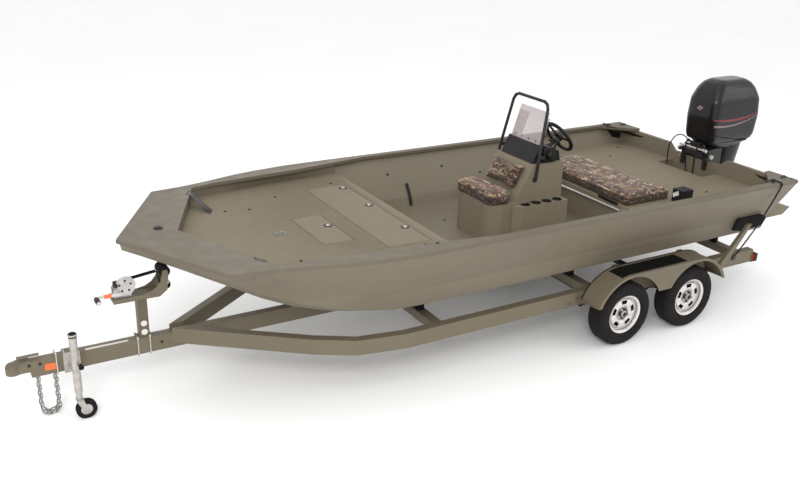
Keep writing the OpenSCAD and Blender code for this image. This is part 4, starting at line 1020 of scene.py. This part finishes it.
b = Build()
for side in (1, -1):
    y = 0.926 * side
    for dy, dz in ((-0.058, 0), (0.058, 0)):
        b.box((-1.605, y + dy - 0.004, 0.395), (-1.560, y + dy + 0.004, 0.471), 0.001)
    for z in (0.394, 0.470):
        b.box((-1.605, y - 0.060, z - 0.003), (-1.560, y + 0.060, z + 0.003), 0.001)
    b.sweep([(-1.50, 0.90 * side, 0.372), (-1.56, 0.90 * side, 0.362), (-1.64, 0.91 * side, 0.352)], 0.008, 8)
b.done("lamp_frames", black_plastic)

b = Build()
for side, tag in ((1, "port"), (-1, "starboard")):
    loc, _ = meet("guide_" + tag, A(-1.32, 0, 0.86) + Vector((0, 0.2 * side, 0)), Vector((0, side, 0)))
    pad = [(-1.095, 0.8195), (-1.158, 0.9255), (-1.482, 0.9255), (-1.5455, 0.886), (-1.481, 0.8085), (-1.179, 0.8045)]
    lo, hi = sorted((loc.y - 0.004 * side, loc.y + 0.0365 * side))
    b.prism(pad, lo, hi, "y", 0.004)
b.done("guide_pads", carpet)

# Tie-down strap at the stern
b = Build()
for side in (1, -1):
    top = Vector((-1.40, 1.12 * side, 1.325))
    edge = Vector((-1.41, 1.225 * side, 1.318))
    turn = Vector((-1.415, 1.236 * side, 1.295))
    low = Vector((-1.27, 0.973 * side, 0.50))
    pts = [top, edge, turn] + [turn.lerp(low, t) + Vector((0, 0.022 * side * sin(pi * t), 0)) for t in (0.2, 0.4, 0.6, 0.8, 1.0)]
    b.strap(pts, 0.026, 0.0025, (1, 0, 0))
b.done("tie_down_straps", webbing)
b = Build()
for side in (1, -1):
    b.box((-1.295, 0.958 * side - 0.012, 0.455), (-1.245, 0.958 * side + 0.012, 0.50), 0.003)
b.done("strap_anchors", black_metal)

# Trailer front

b = Build()
for z in (0.604, 0.531):
    b.lathe([(0, 0.0012), (0.024, 0.0012), (0.0245, 0.0)], (4.3225, 0.038, z), (0, 1, 0), 32)
b.box((4.45, 0.006, 0.4765), (4.77, 0.031, 0.4785), 0.0006)
b.done("blank_labels", white_label)

b = Build()
for x in (4.38, 4.287):
    b.sweep([(x, 0.043, 0.492), (x, 0.043, 0.337), (x, -0.043, 0.337), (x, -0.043, 0.492)], 0.0055, 10)
    for y in (0.043, -0.043):
        b.cyl((x, y, 0.488), (x, y, 0.499), 0.010, 6)
b.sweep([(4.985, 0.046, 0.50), (4.985, 0.046, 0.335), (4.985, -0.046, 0.335), (4.985, -0.046, 0.50), (4.985, 0.046, 0.50)], 0.006, 10)
b.done("tongue_bolts", bright_steel)

b = Build()
b.stud("tongue", sight(162, 341.5), 0.012, 0.008, 6)
for u, v in ((29, 366), (40, 364)):
    b.stud("coupler tongue", sight(u, v), 0.013, 0.008, 6)
b.done("dark_bolts", black_metal)

b = Build()
b.drape("coupler tongue", seen([(45, 364.2), (56, 362.6)], [(45, 370.6), (56, 368.8)]), 4, 2, 0.0012, 0.002)
b.done("coupler_tag_blank", orange_tape)
b = Build()
b.box((4.557, 0.1010, 0.9045), (4.612, 0.1150, 0.9335), 0.002)
b.done("crank_tape", orange_tape)

b = Build()
b.lathe([(0.0, 0.0), (0.0185, 0.0), (0.0205, 0.006), (0.019, 0.02), (0.0205, 0.034), (0.019, 0.048), (0.0205, 0.062), (0.0195, 0.078),
        (0.0165, 0.086), (0, 0.086)], (4.67, 0.126, 0.919), (0, 1, 0), 24)
b.done("crank_grip", black_plastic)

b = Build()
teeth = 48
pts = []
for k in range(teeth):
    for f, r in ((0.0, 0.0735), (0.28, 0.0735), (0.42, 0.0785), (0.72, 0.0785), (0.86, 0.0735)):
        t = 2 * pi * (k + f) / teeth
        pts.append((4.44 + r * cos(t), 0.950 + r * sin(t)))
b.prism(pts, 0.0435, 0.0535, "y")
b.lathe([(0, 0.008), (0.010, 0.008), (0.013, 0.004), (0.024, 0.003), (0.026, 0)], (4.44, 0.0535, 0.950), (0, 1, 0), 24)
b.ring((4.44, 0.0545, 0.950), (0, 1, 0), 0.062, 0.002, 48, 6)
b.done("winch_gear", rim_silver)
b = Build()
for k in range(5):
    t = 2 * pi * k / 5 + 0.3
    c = (4.44 + 0.044 * cos(t), 0.950 + 0.044 * sin(t))
    b.cyl((c[0], 0.0525, c[1]), (c[0], 0.0545, c[1]), 0.0095, 16)
b.cyl((4.512, 0.044, 0.968), (4.512, 0.070, 0.968), 0.016, 18, bevel=0.002)
b.box((4.500, 0.0445, 0.965), (4.530, 0.052, 1.006), 0.003)
b.done("winch_pawl", black_metal)

b = Build()
b.strap(smooth_path([(4.150, 0, 0.985), (4.120, 0, 0.945), (4.092, 0, 0.892), (4.105, 0, 0.858), (4.140, 0, 0.858), (4.166, 0, 0.885),
        (4.172, 0, 0.930), (4.176, 0, 0.965)], 20), 0.048, 0.003, (0, 1, 0))
b.done("strap_loop", webbing)

b = Build()
b.lathe([(0, 0.022), (0.022, 0.021), (0.029, 0.014), (0.031, 0.0), (0.0305, -0.012), (0, -0.012)], (4.876, 0.188, 0.700), (0, 0, 1), 28)
b.cyl((4.848, 0.212, 0.462), (4.848, 0.250, 0.462), 0.012, 18, bevel=0.003)
b.cyl((4.848, 0.248, 0.462), (4.848, 0.262, 0.462), 0.019, 20, bevel=0.003)
b.done("jack_cap", rubber, "jack")

b = Build()
for side in (1, -1):
    y = meet("jack_wheel", A(4.850, 0.188 + 0.2 * side, 0.095), Vector((0, -side, 0)))[0].y
    b.lathe([(0, 0.006), (0.012, 0.006), (0.014, 0.003), (0.040, 0.002), (0.046, -0.002), (0, -0.002)], (4.836, y, 0.077), (0, side, 0), 30)
b.done("jack_wheel_hubs", zinc_steel, "jack_caster")


# Floor and light

me = bpy.data.meshes.new("floor")
me.from_pydata([(-90, -90, 0), (90, -90, 0), (90, 90, 0), (-90, 90, 0)], [], [(0, 1, 2, 3)])
floor_mat = Mat("floor_white", (246, 246, 246), 0.9)
floor_mat.tone((246, 246, 246), 0.5, 0.01)
me.materials.append(floor_mat.mat)
placed("floor", me)

world = bpy.context.scene.world or bpy.data.worlds.new("studio")
bpy.context.scene.world = world
world.use_nodes = True
sky = world.node_tree.nodes["Background"].inputs
sky["Color"].default_value = (1.0, 1.0, 1.0, 1)
sky["Strength"].default_value = 1.02


def area(name, loc, target, size, power):
    d = bpy.data.lights.new(name, "AREA")
    d.size = size
    d.energy = power
    ob = placed(name, d)
    ob.location = loc
    ob.rotation_euler = (Vector(target) - Vector(loc)).to_track_quat("-Z", "Y").to_euler()


area("key", A(7.5, 8.0, 6.5), (0, 0, 0.7), 4.0, 620)
area("top", (1.0, 2.0, 9.5), (0, 0, 0.6), 8.0, 120)
area("fill", (-8.0, 6.0, 5.0), (-1, 0, 0.8), 5.0, 120)
area("back", (-2.0, -9.0, 5.0), (0, 0, 0.8), 5.0, 90)
